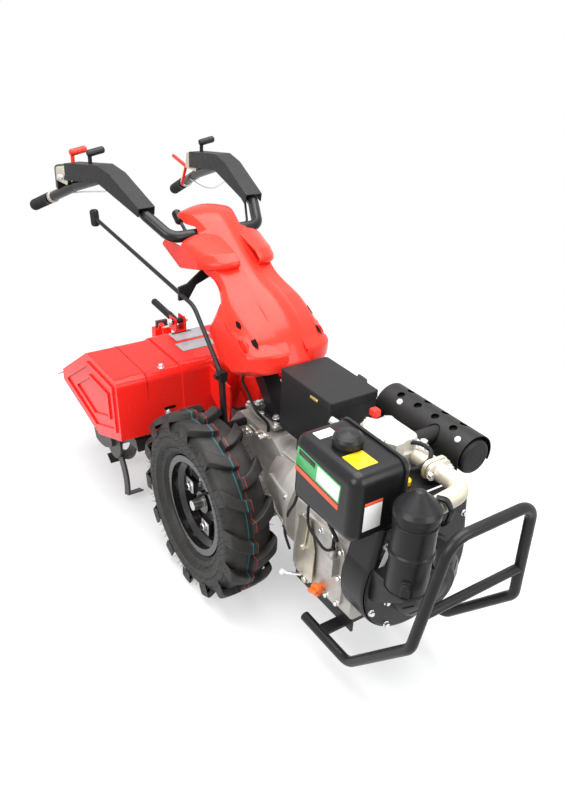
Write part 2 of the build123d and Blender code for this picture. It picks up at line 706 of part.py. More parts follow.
CLUTCH_PATH = [(-846, 204, 955), (-915, 202, 925), (-1012, 204, 940)]
CLUTCH_TAIL = (-942, 200, 858)


def clutch_lever():
    """Red hand lever inside the left grip: a pin across the arm cover, the hand part and a short tail."""
    x, _, z = CLUTCH_PATH[0]
    reach = ARM_HALF - ARM_SHEET + 1.2
    middle = arm_middle(1, x)
    lever = bent_tube(CLUTCH_PATH, 20, 6) + bent_tube([CLUTCH_PATH[1], CLUTCH_TAIL], 0, 5)
    return lever + rod_y(7, middle - reach, middle + reach, x, z)


def cowl_section(station, sheet=0.0, deeper=0.0):
    """One section across the cowl: an arched top with rounded shoulders on sides that slant outwards."""
    x, z, lean, top, foot, crown, depth = station
    tilt = math.radians(lean)
    plane = Plane(origin=(x, 0, z), x_dir=(0, 1, 0), z_dir=(math.cos(tilt), 0, -math.sin(tilt)))
    half, arch, low = top - sheet, crown + sheet, depth + deeper
    base = half + (foot - top) * (low - arch) / (depth - crown)
    roof = ThreePointArc((-half, -arch), (0, -sheet), (half, -arch))
    sides = Polyline((half, -arch), (base, -low), (-base, -low), (-half, -arch))
    face = make_face(roof + sides)
    return plane * fillet(face.vertices().sort_by(Axis.Y)[-2:], COWL_SHOULDER_R - sheet)


def cowl_spine():
    """Ridge of the cowl from the visor, down the slope, to the nose behind the battery box."""
    return [(-430, 940, -5, 72, 82, 14, 26), (-345, 936, 10, 60, 82, 12, 48), (-275, 899, 27, 50, 86, 13, 62),
            (-113, 815, 28, 50, 90, 13, 72), (39, 733, 32, 52, 96, 13, 92),
            (COWL_NOSE_X - 8, 690, 60, 58, 100, 14, 104),
            (COWL_NOSE_X, COWL_LOW_Z, 90, 62, 102, 14, 112)]


def pillow(rings, sheet=0.0):
    """Bulge out of the cowl's side: outlines at growing distance from the middle, lofted together."""
    faces = []
    for k, (y, outline) in enumerate(rings):
        face = fillet(make_face(Polyline(*outline, close=True)).vertices(), COWL_CORNER_R)
        face = offset(face, -sheet) if sheet else face
        inset = sheet if k == len(rings) - 1 else 0
        faces.append(Plane.XZ.offset(inset - y) * face)
    return loft(faces)


def cowl_hollow():
    """Space inside the ridge of the cowl, carried past its open rear and foot."""
    stations = cowl_spine()
    stations[0] = (stations[0][0] - COWL_OVERCUT,) + stations[0][1:]
    stations[-1] = (stations[-1][0], COWL_LOW_Z - COWL_OVERCUT) + stations[-1][2:]
    return loft([cowl_section(s, COWL_SHEET, COWL_OVERCUT) for s in stations])


COWL_TIE_Z = 760.0


def cowl_bracket(post):
    """Folded tie between the column and the inside of the cowl's ridge."""
    tie = side_prism([(-176, 682), (-136, 638), (-96, 900), (-176, 900)], -22, 22)
    below = box((-200, 0), (-30, 30), (600, COWL_TIE_Z))
    return (tie & cowl_hollow()) + (tie & below) - post


def cowl():
    """Shell of the column cowl: ridge, lower ears and upper wings, open behind and below."""
    ear = [(30, [(-140, 790), (-10, 745), (74, 690), (80, 640), (-10, 592), (-110, 596), (-196, 672)]),
           (100, [(-140, 772), (-10, 728), (56, 684), (54, 638), (-40, 594), (-115, 602), (-192, 676)]),
           (126, [(-120, 740), (-16, 712), (34, 680), (32, 642), (-44, 610), (-110, 622), (-165, 684)])]
    wing = [(30, [(-150, 846), (-340, 782), (-474, 824), (-440, 862), (-300, 900), (-190, 872)]),
            (90, [(-175, 838), (-345, 786), (-470, 825), (-440, 858), (-305, 892), (-215, 866)]),
            (118, [(-232, 826), (-350, 796), (-458, 827), (-436, 850), (-312, 878), (-252, 852)])]
    outer = loft([cowl_section(s) for s in cowl_spine()])
    inner = cowl_hollow()
    for rings in (ear, wing):
        bulge, hollow = pillow(rings), pillow(rings, COWL_SHEET)
        outer = outer + bulge + mirrored(bulge)
        inner = inner + hollow + mirrored(hollow)
    shell = outer - inner
    reach = 300
    rear = [(-520, 1100), (-520, 500), (200, 500), (200, 647), (84, 647), (-8, 599), (-108, 603), (-186, 672),
            (-130, 776), (-160, 826), (-340, 796), (-456, 836), (-430, 856), (-440, 1100)]
    shell -= side_prism(rear, -reach, reach)
    for x, z, length in COWL_LEAVES:
        ends = (-length, 0), (length, 0)
        upper = ThreePointArc(ends[0], (0, LEAF_BULGE), ends[1])
        lower = ThreePointArc(ends[1], (0, -LEAF_BULGE), ends[0])
        leaf = make_face(upper + lower)
        cut = Pos(x, 0, z) * Rot(0, SPINE_SLOPE_DEG, 0) * extrude(Plane.XZ * leaf, amount=reach, both=True)
        shell -= cut
    slot = BAR_R + COWL_BAR_GAP
    shell -= rod_y(slot, -reach, reach, PIVOT_X, PIVOT_Z)
    shell -= box((PIVOT_X - 200, PIVOT_X), (-reach, reach), (PIVOT_Z - slot, PIVOT_Z + slot))
    return shell


# Rotary tiller

def hood_outline():
    """Outer side outline of the tiller hood, from the front lip round to the low edge of its ends."""
    return [(-285, 330), (-302, HOOD_TOP_Z), (-519, HOOD_TOP_Z), (HOOD_REAR_X, 356), (HOOD_REAR_X, HOOD_LIP_Z),
            (-464, 259)]


def hood_underside():
    """Region below the lips of the hood, kept open."""
    front, lip = hood_outline()[0], hood_outline()[4]
    return [(front[0] + 20, front[1] + 6), (lip[0] - 20, lip[1] + 6), (lip[0] - 20, 0), (front[0] + 20, 0)]


def hood_faces():
    """Full side outline of the hood and the same outline hollowed to a sheet open below."""
    points = hood_outline()
    outer = fillet(make_face(Polyline(*points, close=True)).vertices().sort_by(Axis.Y)[-2:], 26)
    front, lip = points[0], points[4]
    t = TILLER_SHEET
    below = [(front[0] - t, front[1] + t), (lip[0] + t, lip[1] + t), (lip[0] + t, 0), (front[0] - t, 0)]
    return outer, outer - offset(outer, -t) - make_face(Polyline(*below, close=True))


def hinge_lug():
    """Ear on the hood's rear lip that carries the flap's pin."""
    x, z = FLAP_HINGE
    lug = rod_y(FLAP_PIN_R + 6, -LUG_HALF, LUG_HALF, x, z)
    lug += box((x, HOOD_REAR_X), (-LUG_HALF, LUG_HALF), (z - FLAP_PIN_R - 6, z + FLAP_PIN_R + 6))
    return lug


def tiller_hood():
    y = TILLER_SEAM_Y
    outer, sheet = hood_faces()
    hood = extrude(Plane.XZ.offset(y) * sheet, amount=2 * y, dir=(0, 1, 0))
    raised = offset(outer, HOOD_RAISE) - outer - make_face(Polyline(*hood_underside(), close=True))
    hood += extrude(Plane.XZ.offset(HOOD_PANEL_Y) * raised, amount=2 * HOOD_PANEL_Y, dir=(0, 1, 0))
    for lug_y in LUG_YS:
        hood += Pos(0, lug_y, 0) * hinge_lug() + Pos(0, -lug_y, 0) * hinge_lug()
    hood -= rod_y(FLAP_PIN_R + RUNNING_GAP, -y, y, *FLAP_HINGE)
    hood -= rod_x(DRIVE_TUBE_R + 8, -400, -200, 0, HITCH_Z)
    return hood + skid_socket() - skid_bar()


def tiller_wing(side):
    """Bolted on extension with the closed end of the hood."""
    outer, sheet = hood_faces()
    y0, y1 = TILLER_SEAM_Y, TILLER_HALF_WIDTH
    wing = extrude(Plane.XZ.offset(-y0) * sheet, amount=y1 - y0, dir=(0, 1, 0))
    plate = y1 - PRESSING
    wing += extrude(Plane.XZ.offset(TILLER_SHEET - plate) * outer, amount=TILLER_SHEET, dir=(0, 1, 0))
    wing -= box((HOOD_REAR_X - 20, 0), (plate, y1 + 1), (0, HOOD_TOP_Z + 20))
    panel = offset(outer, -24) - offset(outer, -36) + (offset(outer, -62) - offset(outer, -72))
    wing += extrude(Plane.XZ.offset(-plate) * panel, amount=PRESSING, dir=(0, 1, 0))
    return wing if side > 0 else mirrored(wing)


def tiller_case():
    """Drive case from the hitch flange to the rotor, with a pad under the hood."""
    case = box((HITCH_X - 18, HITCH_X), (-58, 58), (HITCH_Z - 62, HITCH_Z + 62))
    case += rod_x(DRIVE_TUBE_R, HITCH_X - 18, -440, 0, HITCH_Z)
    leg = [(ROTOR_X - 60, ROTOR_Z), (ROTOR_X - 20, 330), (-440, 372), (-380, 330), (ROTOR_X + 60, ROTOR_Z)]
    case += side_prism(leg, -TILLER_CASE_HALF, TILLER_CASE_HALF)
    case += rod_y(60, -TILLER_CASE_HALF, TILLER_CASE_HALF, ROTOR_X, ROTOR_Z)
    case += box((-480, -400), (-30, 30), (330, HOOD_TOP_Z - TILLER_SHEET))
    return case - rod_y(ROTOR_SHAFT_R + RUNNING_GAP, -40, 40, ROTOR_X, ROTOR_Z)


def tine(lean):
    """Sickle shaped leg in the plane of its flange with a foot bent over towards lean."""
    back, root = TINE_R - 6, 46
    tip = (TINE_R - 2, -10)
    outline = ThreePointArc((root, 20), (0.62 * TINE_R, 24), tip) + Line(tip, (back, -46))
    outline += ThreePointArc((back, -46), (0.58 * TINE_R, -12), (root, -20)) + Line((root, -20), (root, 20))
    blade = extrude(Plane.XZ * make_face(outline), amount=TINE_SHEET, dir=(0, 1, 0))
    foot = extrude(Plane.XZ * make_face(outline), amount=lean * TINE_FOOT, dir=(0, 1, 0))
    swept = rod_y(TINE_R, -2 * TINE_FOOT, 2 * TINE_FOOT, 0, 0)
    rim = swept - rod_y(TINE_R - TINE_SHEET, -2 * TINE_FOOT, 2 * TINE_FOOT, 0, 0)
    return (blade & swept) + (foot & rim)


def tine_rotor():
    """Shaft with flanges of sickle tines, the outermost turned inwards."""
    reach = FLANGE_YS[-1] + 16
    rotor = rod_y(ROTOR_SHAFT_R, -reach, reach, 0, 0)
    blades = {lean: tine(lean) for lean in (-1, 1)}
    for side in (-1, 1):
        for row, y in enumerate(FLANGE_YS):
            rotor += rod_y(FLANGE_R, side * (y - 4), side * (y + 4), 0, 0)
            for k in range(TINES_PER_FLANGE):
                turn = Rot(0, 360 / TINES_PER_FLANGE * k + TINE_STEP_DEG * row, 0)
                lean = -side if (k + row) % 2 or row == len(FLANGE_YS) - 1 else side
                start = side * y + (4 if lean > 0 else -4 - TINE_SHEET)
                rotor += turn * Pos(0, start, 0) * blades[lean]
    return Pos(ROTOR_X, 0, ROTOR_Z) * rotor


def skid_bar():
    return box((SKID_X - 6, SKID_X + 6), (-20, 20), (8, SKID_TOP_Z))


def skid():
    """Depth skid: upright bar through the hood with a shoe on the ground."""
    return skid_bar() + box((SKID_X - 110, SKID_X + 6), (-32, 32), (0, 8))


def skid_socket():
    """Welded socket on the hood's slope that holds the skid bar."""
    return box((SKID_X - 14, SKID_X + 14), (-30, 30), (340, SKID_TOP_Z - 24)) - extrude(
        Plane.XZ.offset(60) * hood_faces()[0], amount=120, dir=(0, 1, 0))


LEVER_X = -532.0
LEVER_PIN_R = 9.0
LEVER_STAND = 44.0
LEVER_FOLD = 18.0


def depth_lever():
    """Bent lever on its pin."""
    z = HOOD_TOP_Z + HOOD_RAISE + 30
    arm = bent_tube([(LEVER_X, LEVER_Y, z), (LEVER_X - 50, LEVER_Y, z + 6), (LEVER_X - 170, LEVER_Y, z - 2)], 30, 6)
    return arm + rod_y(LEVER_PIN_R, LEVER_Y - 24, LEVER_Y + 24, LEVER_X, z)


def depth_stand(lever):
    """Folded bracket on top of the hood that carries the lever's pin."""
    z = HOOD_TOP_Z + HOOD_RAISE
    x = (LEVER_X - 24, LEVER_X + 24)
    stand = box(x, (LEVER_Y - LEVER_FOLD, LEVER_Y + LEVER_FOLD), (z, z + 4))
    for side in (-1, 1):
        y = sorted((LEVER_Y + side * LEVER_FOLD, LEVER_Y + side * (LEVER_FOLD - 4)))
        stand += box(x, y, (z, z + LEVER_STAND))
    return stand - lever


def lever_grip(lever):
    z = HOOD_TOP_Z + HOOD_RAISE
    sleeve = Pos(-640, LEVER_Y, z + 30) * Rot(0, 94, 0) * Cylinder(11, 124)
    return fillet(sleeve.edges(), 4) - lever


def flap():
    """Rear flap on its hinge pin, raised in line with the hood's slope."""
    pin = rod_y(FLAP_PIN_R, -FLAP_HALF, FLAP_HALF, 0, 0)
    plate = box((-FLAP_LENGTH, 0), (-FLAP_HALF, FLAP_HALF), (-FLAP_SHEET / 2, FLAP_SHEET / 2))
    for lug_y in LUG_YS:
        for y in (-lug_y, lug_y):
            notch = LUG_HALF + FLAP_LUG_GAP
            plate -= box((-FLAP_PIN_R - 14, FLAP_PIN_R), (y - notch, y + notch), (-9, 9))
    x, z = FLAP_HINGE
    return Pos(x, 0, z) * Rot(0, -FLAP_DROP_DEG, 0) * (pin + plate)


def wheels(nodes):
    tread, ring = tyre(), rim()
    for name, side in (("right", -1), ("left", 1)):
        nodes[f"tyre_{name}"] = wheel_place(tread, side)
        nodes[f"rim_{name}"] = wheel_place(ring, side)
        nodes[f"wheel_hub_{name}"] = wheel_place(hub(side), side)
        nodes[f"axle_shaft_{name}"] = wheel_place(axle(side), side)


def engine(nodes):
    nodes["engine_block"] = engine_block()
    nodes["cylinder"] = cylinder()
    nodes["cylinder_head"] = cylinder_head() + valve_cover()
    nodes["fan_housing"] = fan_housing() + cleaner_bracket()
    nodes["recoil_starter"] = recoil_starter()
    nodes["fuel_tank"] = fuel_tank()
    nodes["fuel_cap"] = fuel_cap()
    nodes["air_cleaner"] = air_cleaner()
    nodes["intake_elbow"] = intake_elbow() - nodes["air_cleaner"]
    chamber = rod_x(MUFFLER_R - MUFFLER_SHEET, *MUFFLER_X, MUFFLER_Y, MUFFLER_Z)
    nodes["muffler"] = muffler() + (exhaust_pipe() - chamber)
    nodes["heat_shield"] = heat_shield()
    nodes["governor_plate"] = governor_plate()
    nodes["oil_filler"] = oil_filler()
    nodes["injection_pump"] = injection_pump()
    nodes["fuel_hose"] = fuel_hose() - fillet(box(TANK_X, TANK_Y, TANK_Z).edges(), TANK_ROUND)
    nodes["starter_motor"] = starter_motor()
    nodes["decompression_lever"] = decompression_lever()


def chassis(nodes):
    nodes["gearbox"] = gearbox() + gearbox_cover()
    nodes["engine_bed"] = engine_bed()
    nodes["front_guard"] = front_guard()
    nodes["guard_crossbar"] = guard_crossbar()
    nodes["tank_bracket"] = tank_bracket(nodes["engine_block"])
    nodes["battery_stand"] = battery_stand(nodes["gearbox"])
    nodes["battery_box"] = battery_box()


def controls(nodes):
    post, rod, lever = column(), shift_rod(), speed_lever()
    nodes["column"] = post + rod_guide(rod) + cowl_bracket(post)
    nodes["cowl"] = cowl()
    nodes["shift_rod"] = rod
    nodes["speed_lever"] = lever
    nodes["lever_knobs"] = shift_knob(rod) + speed_knob(lever)
    nodes["control_cables"] = control_cables()
    nodes["handlebar"] = handlebar()
    for name, side in (("right", -1), ("left", 1)):
        nodes[f"grip_{name}"] = grip(side)
        nodes[f"arm_cover_{name}"] = arm_cover(side)
    solid = arm_cover(-1, hollow=False) + arm_cover(1, hollow=False)
    nodes["arm_knobs"] = arm_knob(-1, -742) + arm_knob(1, -820) - solid
    nodes["arm_knob_red"] = arm_knob(-1, -856) - solid
    nodes["bar_cables"] = bar_cable(-1) + bar_cable(1)
    nodes["bar_clutch_lever"] = clutch_lever() - nodes["arm_cover_left"]


def tiller(nodes):
    nodes["tiller_hood"] = tiller_hood()
    for name, side in (("right", -1), ("left", 1)):
        nodes[f"tiller_wing_{name}"] = tiller_wing(side)
    nodes["tiller_case"] = tiller_case()
    nodes["tine_rotor"] = tine_rotor()
    nodes["skid"] = skid()
    nodes["flap"] = flap()
    arm = depth_lever()
    nodes["depth_lever"] = arm
    nodes["depth_stand"] = depth_stand(arm)
    nodes["lever_grip"] = lever_grip(arm)


def build():
    nodes = {}
    for group in (wheels, engine, chassis, controls, tiller):
        group(nodes)
    return nodes


def main():
    os.makedirs("parts", exist_ok=True)
    nodes = build()
    front = nodes["front_guard"].bounding_box().max.X
    rear = min(nodes["grip_left"].bounding_box().min.X, nodes["grip_right"].bounding_box().min.X)
    for name, shape in nodes.items():
        export_step(Pos(-(front + rear) / 2, 0, 0) * shape, f"parts/{name}.step")


main()
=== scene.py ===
"""Looks of a two wheel walking tractor with a rear tiller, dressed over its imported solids.

Lengths in the classes are millimetres about the point on the ground under the middle of the
axle: X forward, Y to the machine's left, Z up. They become metres in the row's frame when a
mesh is made.
"""
import json
import logging
import math
from dataclasses import dataclass
from enum import Enum
from typing import Sequence

import bmesh
import bpy
import numpy as np
from mathutils import Matrix


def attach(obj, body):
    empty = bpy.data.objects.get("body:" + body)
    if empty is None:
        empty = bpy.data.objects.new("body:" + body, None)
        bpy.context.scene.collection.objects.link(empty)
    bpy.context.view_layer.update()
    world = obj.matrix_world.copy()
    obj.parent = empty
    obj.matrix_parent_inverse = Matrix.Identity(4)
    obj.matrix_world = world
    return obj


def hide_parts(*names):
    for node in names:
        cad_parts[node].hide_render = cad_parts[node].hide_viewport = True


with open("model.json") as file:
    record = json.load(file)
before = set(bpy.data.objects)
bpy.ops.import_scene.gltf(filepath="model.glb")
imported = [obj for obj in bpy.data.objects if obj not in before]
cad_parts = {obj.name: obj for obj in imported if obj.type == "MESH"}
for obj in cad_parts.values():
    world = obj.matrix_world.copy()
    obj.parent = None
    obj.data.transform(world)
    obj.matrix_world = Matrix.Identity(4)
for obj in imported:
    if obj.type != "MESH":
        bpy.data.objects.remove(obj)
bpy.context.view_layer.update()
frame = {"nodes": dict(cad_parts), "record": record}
LOG = logging.getLogger("walking_tractor")
Array = np.ndarray
Point = Sequence[float]
Tree = bpy.types.NodeTree
Socket = bpy.types.NodeSocket
UP = (0.0, 0.0, 1.0)
FORWARD, BACKWARD = (1.0, 0.0, 0.0), (-1.0, 0.0, 0.0)
LEFT, RIGHT = (0.0, 1.0, 0.0), (0.0, -1.0, 0.0)
ORIGIN = (0.0, 0.0, 0.0)
NEARLY_ALONG = 0.98
COAT_ROUGH = 0.08


def axle_shift() -> float:
    """Distance in metres from the row's origin forward to the wheel axle."""
    joints = {j["name"]: j for j in frame["record"]["behaviour"]["joints"]}
    return float(joints["wheel_right_spin"]["pos_m"][0])


SHIFT = axle_shift()


def place(points: Array) -> Array:
    """Millimetres about the axle's ground point to metres in the row's frame."""
    return np.asarray(points, float) / 1000.0 + np.array([SHIFT, 0.0, 0.0])


# Surfaces


@dataclass
class Surface:
    """Points in millimetres and blocks of faces as index rows."""

    points: Array
    faces: list[Array]

    def __add__(self, other: "Surface") -> "Surface":
        """Both surfaces in one, the second one's indices moved up.

        Args:
            other: The surface that is added.

        Returns:
            The joined surface.
        """
        start = len(self.points)
        moved = [block + start for block in other.faces]
        return Surface(np.vstack((self.points, other.points)), self.faces + moved)


def join(parts: Sequence[Surface]) -> Surface:
    """All the surfaces of a list in one.

    Args:
        parts: One surface or more.

    Returns:
        The joined surface, in the list's order.
    """
    total = parts[0]
    for part in parts[1:]:
        total = total + part
    return total


def grid(points: Array, wrap_u: bool = False, wrap_v: bool = False, caps: bool = False) -> Surface:
    """Quads over a grid of points, rows first.

    Args:
        points: Array of rows by columns by 3.
        wrap_u: Join the last row to the first.
        wrap_v: Join the last column to the first.
        caps: Close the first and the last row with one face each.

    Returns:
        The surface of the grid.
    """
    rows, cols = points.shape[:2]
    index = np.arange(rows * cols).reshape(rows, cols)
    ends = [index[:1, ::-1], index[-1:]] if caps else []
    index = np.vstack((index, index[:1])) if wrap_u else index
    index = np.hstack((index, index[:, :1])) if wrap_v else index
    quads = np.stack((index[:-1, :-1], index[1:, :-1], index[1:, 1:], index[:-1, 1:]), axis=-1).reshape(-1, 4)
    return Surface(points.reshape(-1, 3), [quads] + ends)


def basis(axes: Array, ref: Point = UP) -> tuple[Array, Array, Array]:
    """Two cross directions and the unit axis for each row of axes.

    Args:
        axes: Directions, n by 3.
        ref: Direction that the second cross direction leans towards.

    Returns:
        Side, upper and axis directions, each n by 3.
    """
    axis = axes / np.linalg.norm(axes, axis=1, keepdims=True)
    lean = np.broadcast_to(np.asarray(ref, float), axis.shape)
    along = np.abs(np.sum(axis * lean, axis=1, keepdims=True)) > NEARLY_ALONG
    lean = np.where(along, np.array([1.0, 0.0, 0.0]), lean)
    side = np.cross(lean, axis)
    side /= np.linalg.norm(side, axis=1, keepdims=True)
    return side, np.cross(axis, side), axis


def curve(points: Sequence[Point], count: int = 48) -> Array:
    """Smooth line through points: each stretch is the cubic whose slope at a point is half the
    step between its neighbours.

    Args:
        points: Points that the line passes through, k by n.
        count: Points on the line.

    Returns:
        Points of the line, count by n.
    """
    p = np.asarray(points, float)
    p = np.vstack((2 * p[0] - p[1], p, 2 * p[-1] - p[-2]))
    t = np.linspace(0, len(p) - 3 - 1e-9, count)
    i = t.astype(int)
    u = (t - i)[:, None]
    a, b, c, d = p[i], p[i + 1], p[i + 2], p[i + 3]
    return 0.5 * (2 * b + (c - a) * u + (2 * a - 5 * b + 4 * c - d) * u**2 + (3 * b - a - 3 * c + d) * u**3)


def carry(path: Array, section: Array, ref: Point = UP, scale: Array | float = 1.0) -> Surface:
    """Closed section carried along a path: path + scale (side a + upper b) for each point a, b.

    Args:
        path: Points of the path, n by 3.
        section: Outline in the side and upper directions, m by 2.
        ref: Direction that the section's second axis leans towards.
        scale: Size of the section at each point of the path, or one for all.

    Returns:
        The closed tube.
    """
    side, upper, _ = basis(np.gradient(path, axis=0), ref)
    size = np.broadcast_to(np.asarray(scale, float), (len(path),))[:, None, None]
    flat = side[:, None] * section[None, :, :1] + upper[:, None] * section[None, :, 1:]
    return grid(path[:, None] + size * flat, wrap_v=True, caps=True)


def circle(radius: float, sides: int) -> Array:
    """Points of a circle about the origin, sides by 2."""
    turn = np.linspace(0, 2 * math.pi, sides, endpoint=False)
    return radius * np.stack((np.cos(turn), np.sin(turn)), axis=-1)


def rounded(width: float, height: float, radius: float, steps: int = 5) -> Array:
    """Outline of a rectangle with round corners: a corner centre plus a quarter circle, four times.

    Args:
        width: Size along the first direction.
        height: Size along the second direction.
        radius: Radius of the corners.
        steps: Points on each corner.

    Returns:
        The outline about the origin, anticlockwise, m by 2.
    """
    turn = np.linspace(0, math.pi / 2, steps)
    arcs = turn[None] + np.arange(4)[:, None] * math.pi / 2
    centre = np.array([[1, 1], [-1, 1], [-1, -1], [1, -1]]) * (np.array([width, height]) / 2 - radius)
    return (centre[:, None] + radius * np.stack((np.cos(arcs), np.sin(arcs)), axis=-1)).reshape(-1, 2)


def tube(points: Sequence[Point], radius: float, sides: int = 10, count: int = 40) -> Surface:
    """Round bar of one radius along the smooth line through points."""
    return carry(curve(points, count), circle(radius, sides))


def lathe(profile: Sequence[Point], base: Point, axis: Point, sides: int = 40) -> Surface:
    """Ring of a profile turned about an axis: base + along axis + radius (side cos t + upper sin t).

    Args:
        profile: Radius and distance along the axis, k by 2.
        base: Point where the distance is zero.
        axis: Direction of the axis.
        sides: Steps round the axis.

    Returns:
        The turned surface.
    """
    shape = np.asarray(profile, float)
    side, upper, along = (v[0] for v in basis(np.asarray([axis], float)))
    ring = circle(1.0, sides)
    spokes = ring[:, :1] * side + ring[:, 1:] * upper
    points = np.asarray(base, float) + shape[:, None, :1] * spokes[None] + shape[:, None, 1:] * along
    return grid(points, wrap_v=True, caps=True)


def slab(outline: Array, origin: Point, u: Point, v: Point, thick: float,
         edge: float = 0.0) -> Surface:
    """Flat plate of an outline on the directions u and v, standing thick above origin with a soft edge.

    Args:
        outline: Closed outline, m by 2, about the origin.
        origin: Point on the surface that carries the plate.
        u: First direction of the outline.
        v: Second direction of the outline; the plate rises along u cross v.
        thick: Height of the plate.
        edge: Size of the sloped rim of its upper face.

    Returns:
        The closed plate.
    """
    a, b = np.asarray(u, float), np.asarray(v, float)
    a, b = a / np.linalg.norm(a), b / np.linalg.norm(b)
    rise = np.cross(a, b)
    shrink = 1 - edge / np.abs(outline).max(axis=0)
    rings = ((1.0, 0.0), (1.0, thick - edge), (shrink, thick))
    points = [np.asarray(origin) + (outline * k) @ np.stack((a, b)) + rise * h for k, h in rings]
    return grid(np.stack(points), wrap_v=True, caps=True)


def unit(rows: Array) -> Array:
    """Rows of vectors at length one."""
    return rows / np.linalg.norm(rows, axis=-1, keepdims=True)


def bend(points: Sequence[Point], reach: Point | float, steps: int = 7) -> Array:
    """Line with rounded corners: each corner becomes the quadratic curve between the points a reach
    before and after it.

    Args:
        points: Corners of the line with both its ends.
        reach: Distance from a corner to where its curve starts, one for all or one for each.
        steps: Points on each curve.

    Returns:
        Points of the line.
    """
    p = np.asarray(points, float)
    far = np.broadcast_to(np.asarray(reach, float), (len(p) - 2,))[:, None]
    before, after = p[1:-1] + far * unit(p[:-2] - p[1:-1]), p[1:-1] + far * unit(p[2:] - p[1:-1])
    t = np.linspace(0, 1, steps)[None, :, None]
    turn = (1 - t) ** 2 * before[:, None] + 2 * t * (1 - t) * p[1:-1][:, None] + t**2 * after[:, None]
    return np.vstack((p[:1], turn.reshape(-1, 3), p[-1:]))


def hoop(outline: Array, origin: Point, u: Point, v: Point, width: float,
         height: float) -> Surface:
    """Band that stands out of a closed outline: the outline and the outline moved out by a height, each
    at both edges of the band.

    Args:
        outline: Closed outline, anticlockwise, m by 2.
        origin: Point that the outline lies about, half way across the band.
        u: First direction of the outline.
        v: Second direction of the outline.
        width: Size of the band across the outline's plane.
        height: How far the band stands out.

    Returns:
        The closed ring.
    """
    a, b = unit(np.asarray(u, float)), unit(np.asarray(v, float))
    step = np.roll(outline, -1, axis=0) - np.roll(outline, 1, axis=0)
    out = outline + height * unit(np.stack((step[:, 1], -step[:, 0]), axis=-1))
    flat = np.stack((outline, out, out, outline), axis=1) @ np.stack((a, b))
    rise = np.array([-0.5, -0.5, 0.5, 0.5])[None, :, None] * width * np.cross(a, b)
    return grid(np.asarray(origin, float) + flat + rise, wrap_u=True, wrap_v=True)


def stamp(shape: Surface, spots: Array, axes: Array, ref: Point = UP) -> Surface:
    """Copies of a shape standing along Z, turned to each axis and set on each spot.

    Args:
        shape: The shape that is repeated.
        spots: Where its origin goes, n by 3 or one point.
        axes: Direction that its Z takes on each spot, or one for all.
        ref: Direction that its Y leans towards.

    Returns:
        All the copies in one surface.
    """
    spots = np.atleast_2d(np.asarray(spots, float))
    axes = np.broadcast_to(np.asarray(axes, float), spots.shape)
    turn = np.stack(basis(axes, ref), axis=1)
    points = spots[:, None] + np.einsum("vj,njk->nvk", shape.points, turn)
    step = (np.arange(len(spots)) * len(shape.points))[:, None, None]
    faces = [(block[None] + step).reshape(-1, block.shape[1]) for block in shape.faces]
    return Surface(points.reshape(-1, 3), faces)


def bolt(across: float, head: float, washer: float = 0.0) -> Surface:
    """Six sided bolt head on a round washer, standing along Z.

    Args:
        across: Width over two flats.
        head: Height of the head.
        washer: Thickness of the washer, none where zero.

    Returns:
        The closed shapes of head and washer.
    """
    r = across / math.sqrt(3)
    top = washer + head
    shape = lathe([(r, washer), (r, top - 0.12 * r), (0.86 * r, top), (0.3 * r, top)], ORIGIN, UP, 6)
    if washer:
        shape = shape + lathe([(1.3 * r, 0), (1.3 * r, washer * 0.7), (1.2 * r, washer)], ORIGIN, UP, 20)
    return shape


# Finishes


class Grain(Enum):
    """Fine relief of a finish, by the kind of texture that makes it."""

    PEEL = "soft waves of sprayed paint"
    PEBBLE = "small cells of moulded plastic"
    SAND = "rough skin of a casting"
    BRUSH = "drawn lines of rolled or turned metal"


def feed(tree: Tree, target: bpy.types.Node, inputs: dict[str | int, object]) -> None:
    """Links each named input to its socket, or sets it to its value.

    Args:
        tree: The node tree that holds the node.
        target: The node that is fed.
        inputs: Sockets or values by input.
    """
    for key, value in inputs.items():
        if isinstance(value, Socket):
            tree.links.new(value, target.inputs[key])
        else:
            target.inputs[key].default_value = value


def wire(tree: Tree, kind: str, inputs: dict[str | int, object], **settings: object) -> bpy.types.Node:
    """New shader node of a kind.

    Args:
        tree: The node tree that takes it.
        kind: Its type without the ShaderNode in front.
        inputs: Sockets or values by input.
        settings: Properties of the node, set before its inputs.

    Returns:
        The node.
    """
    made = tree.nodes.new(f"ShaderNode{kind}")
    for key, value in settings.items():
        setattr(made, key, value)
    feed(tree, made, inputs)
    return made


def mixed(tree: Tree, share: Socket, first: object, second: object) -> Socket:
    """Colour between two colours by a share from 0 to 1."""
    return wire(tree, "Mix", {"Factor": share, "A": first, "B": second}, data_type="RGBA").outputs["Result"]


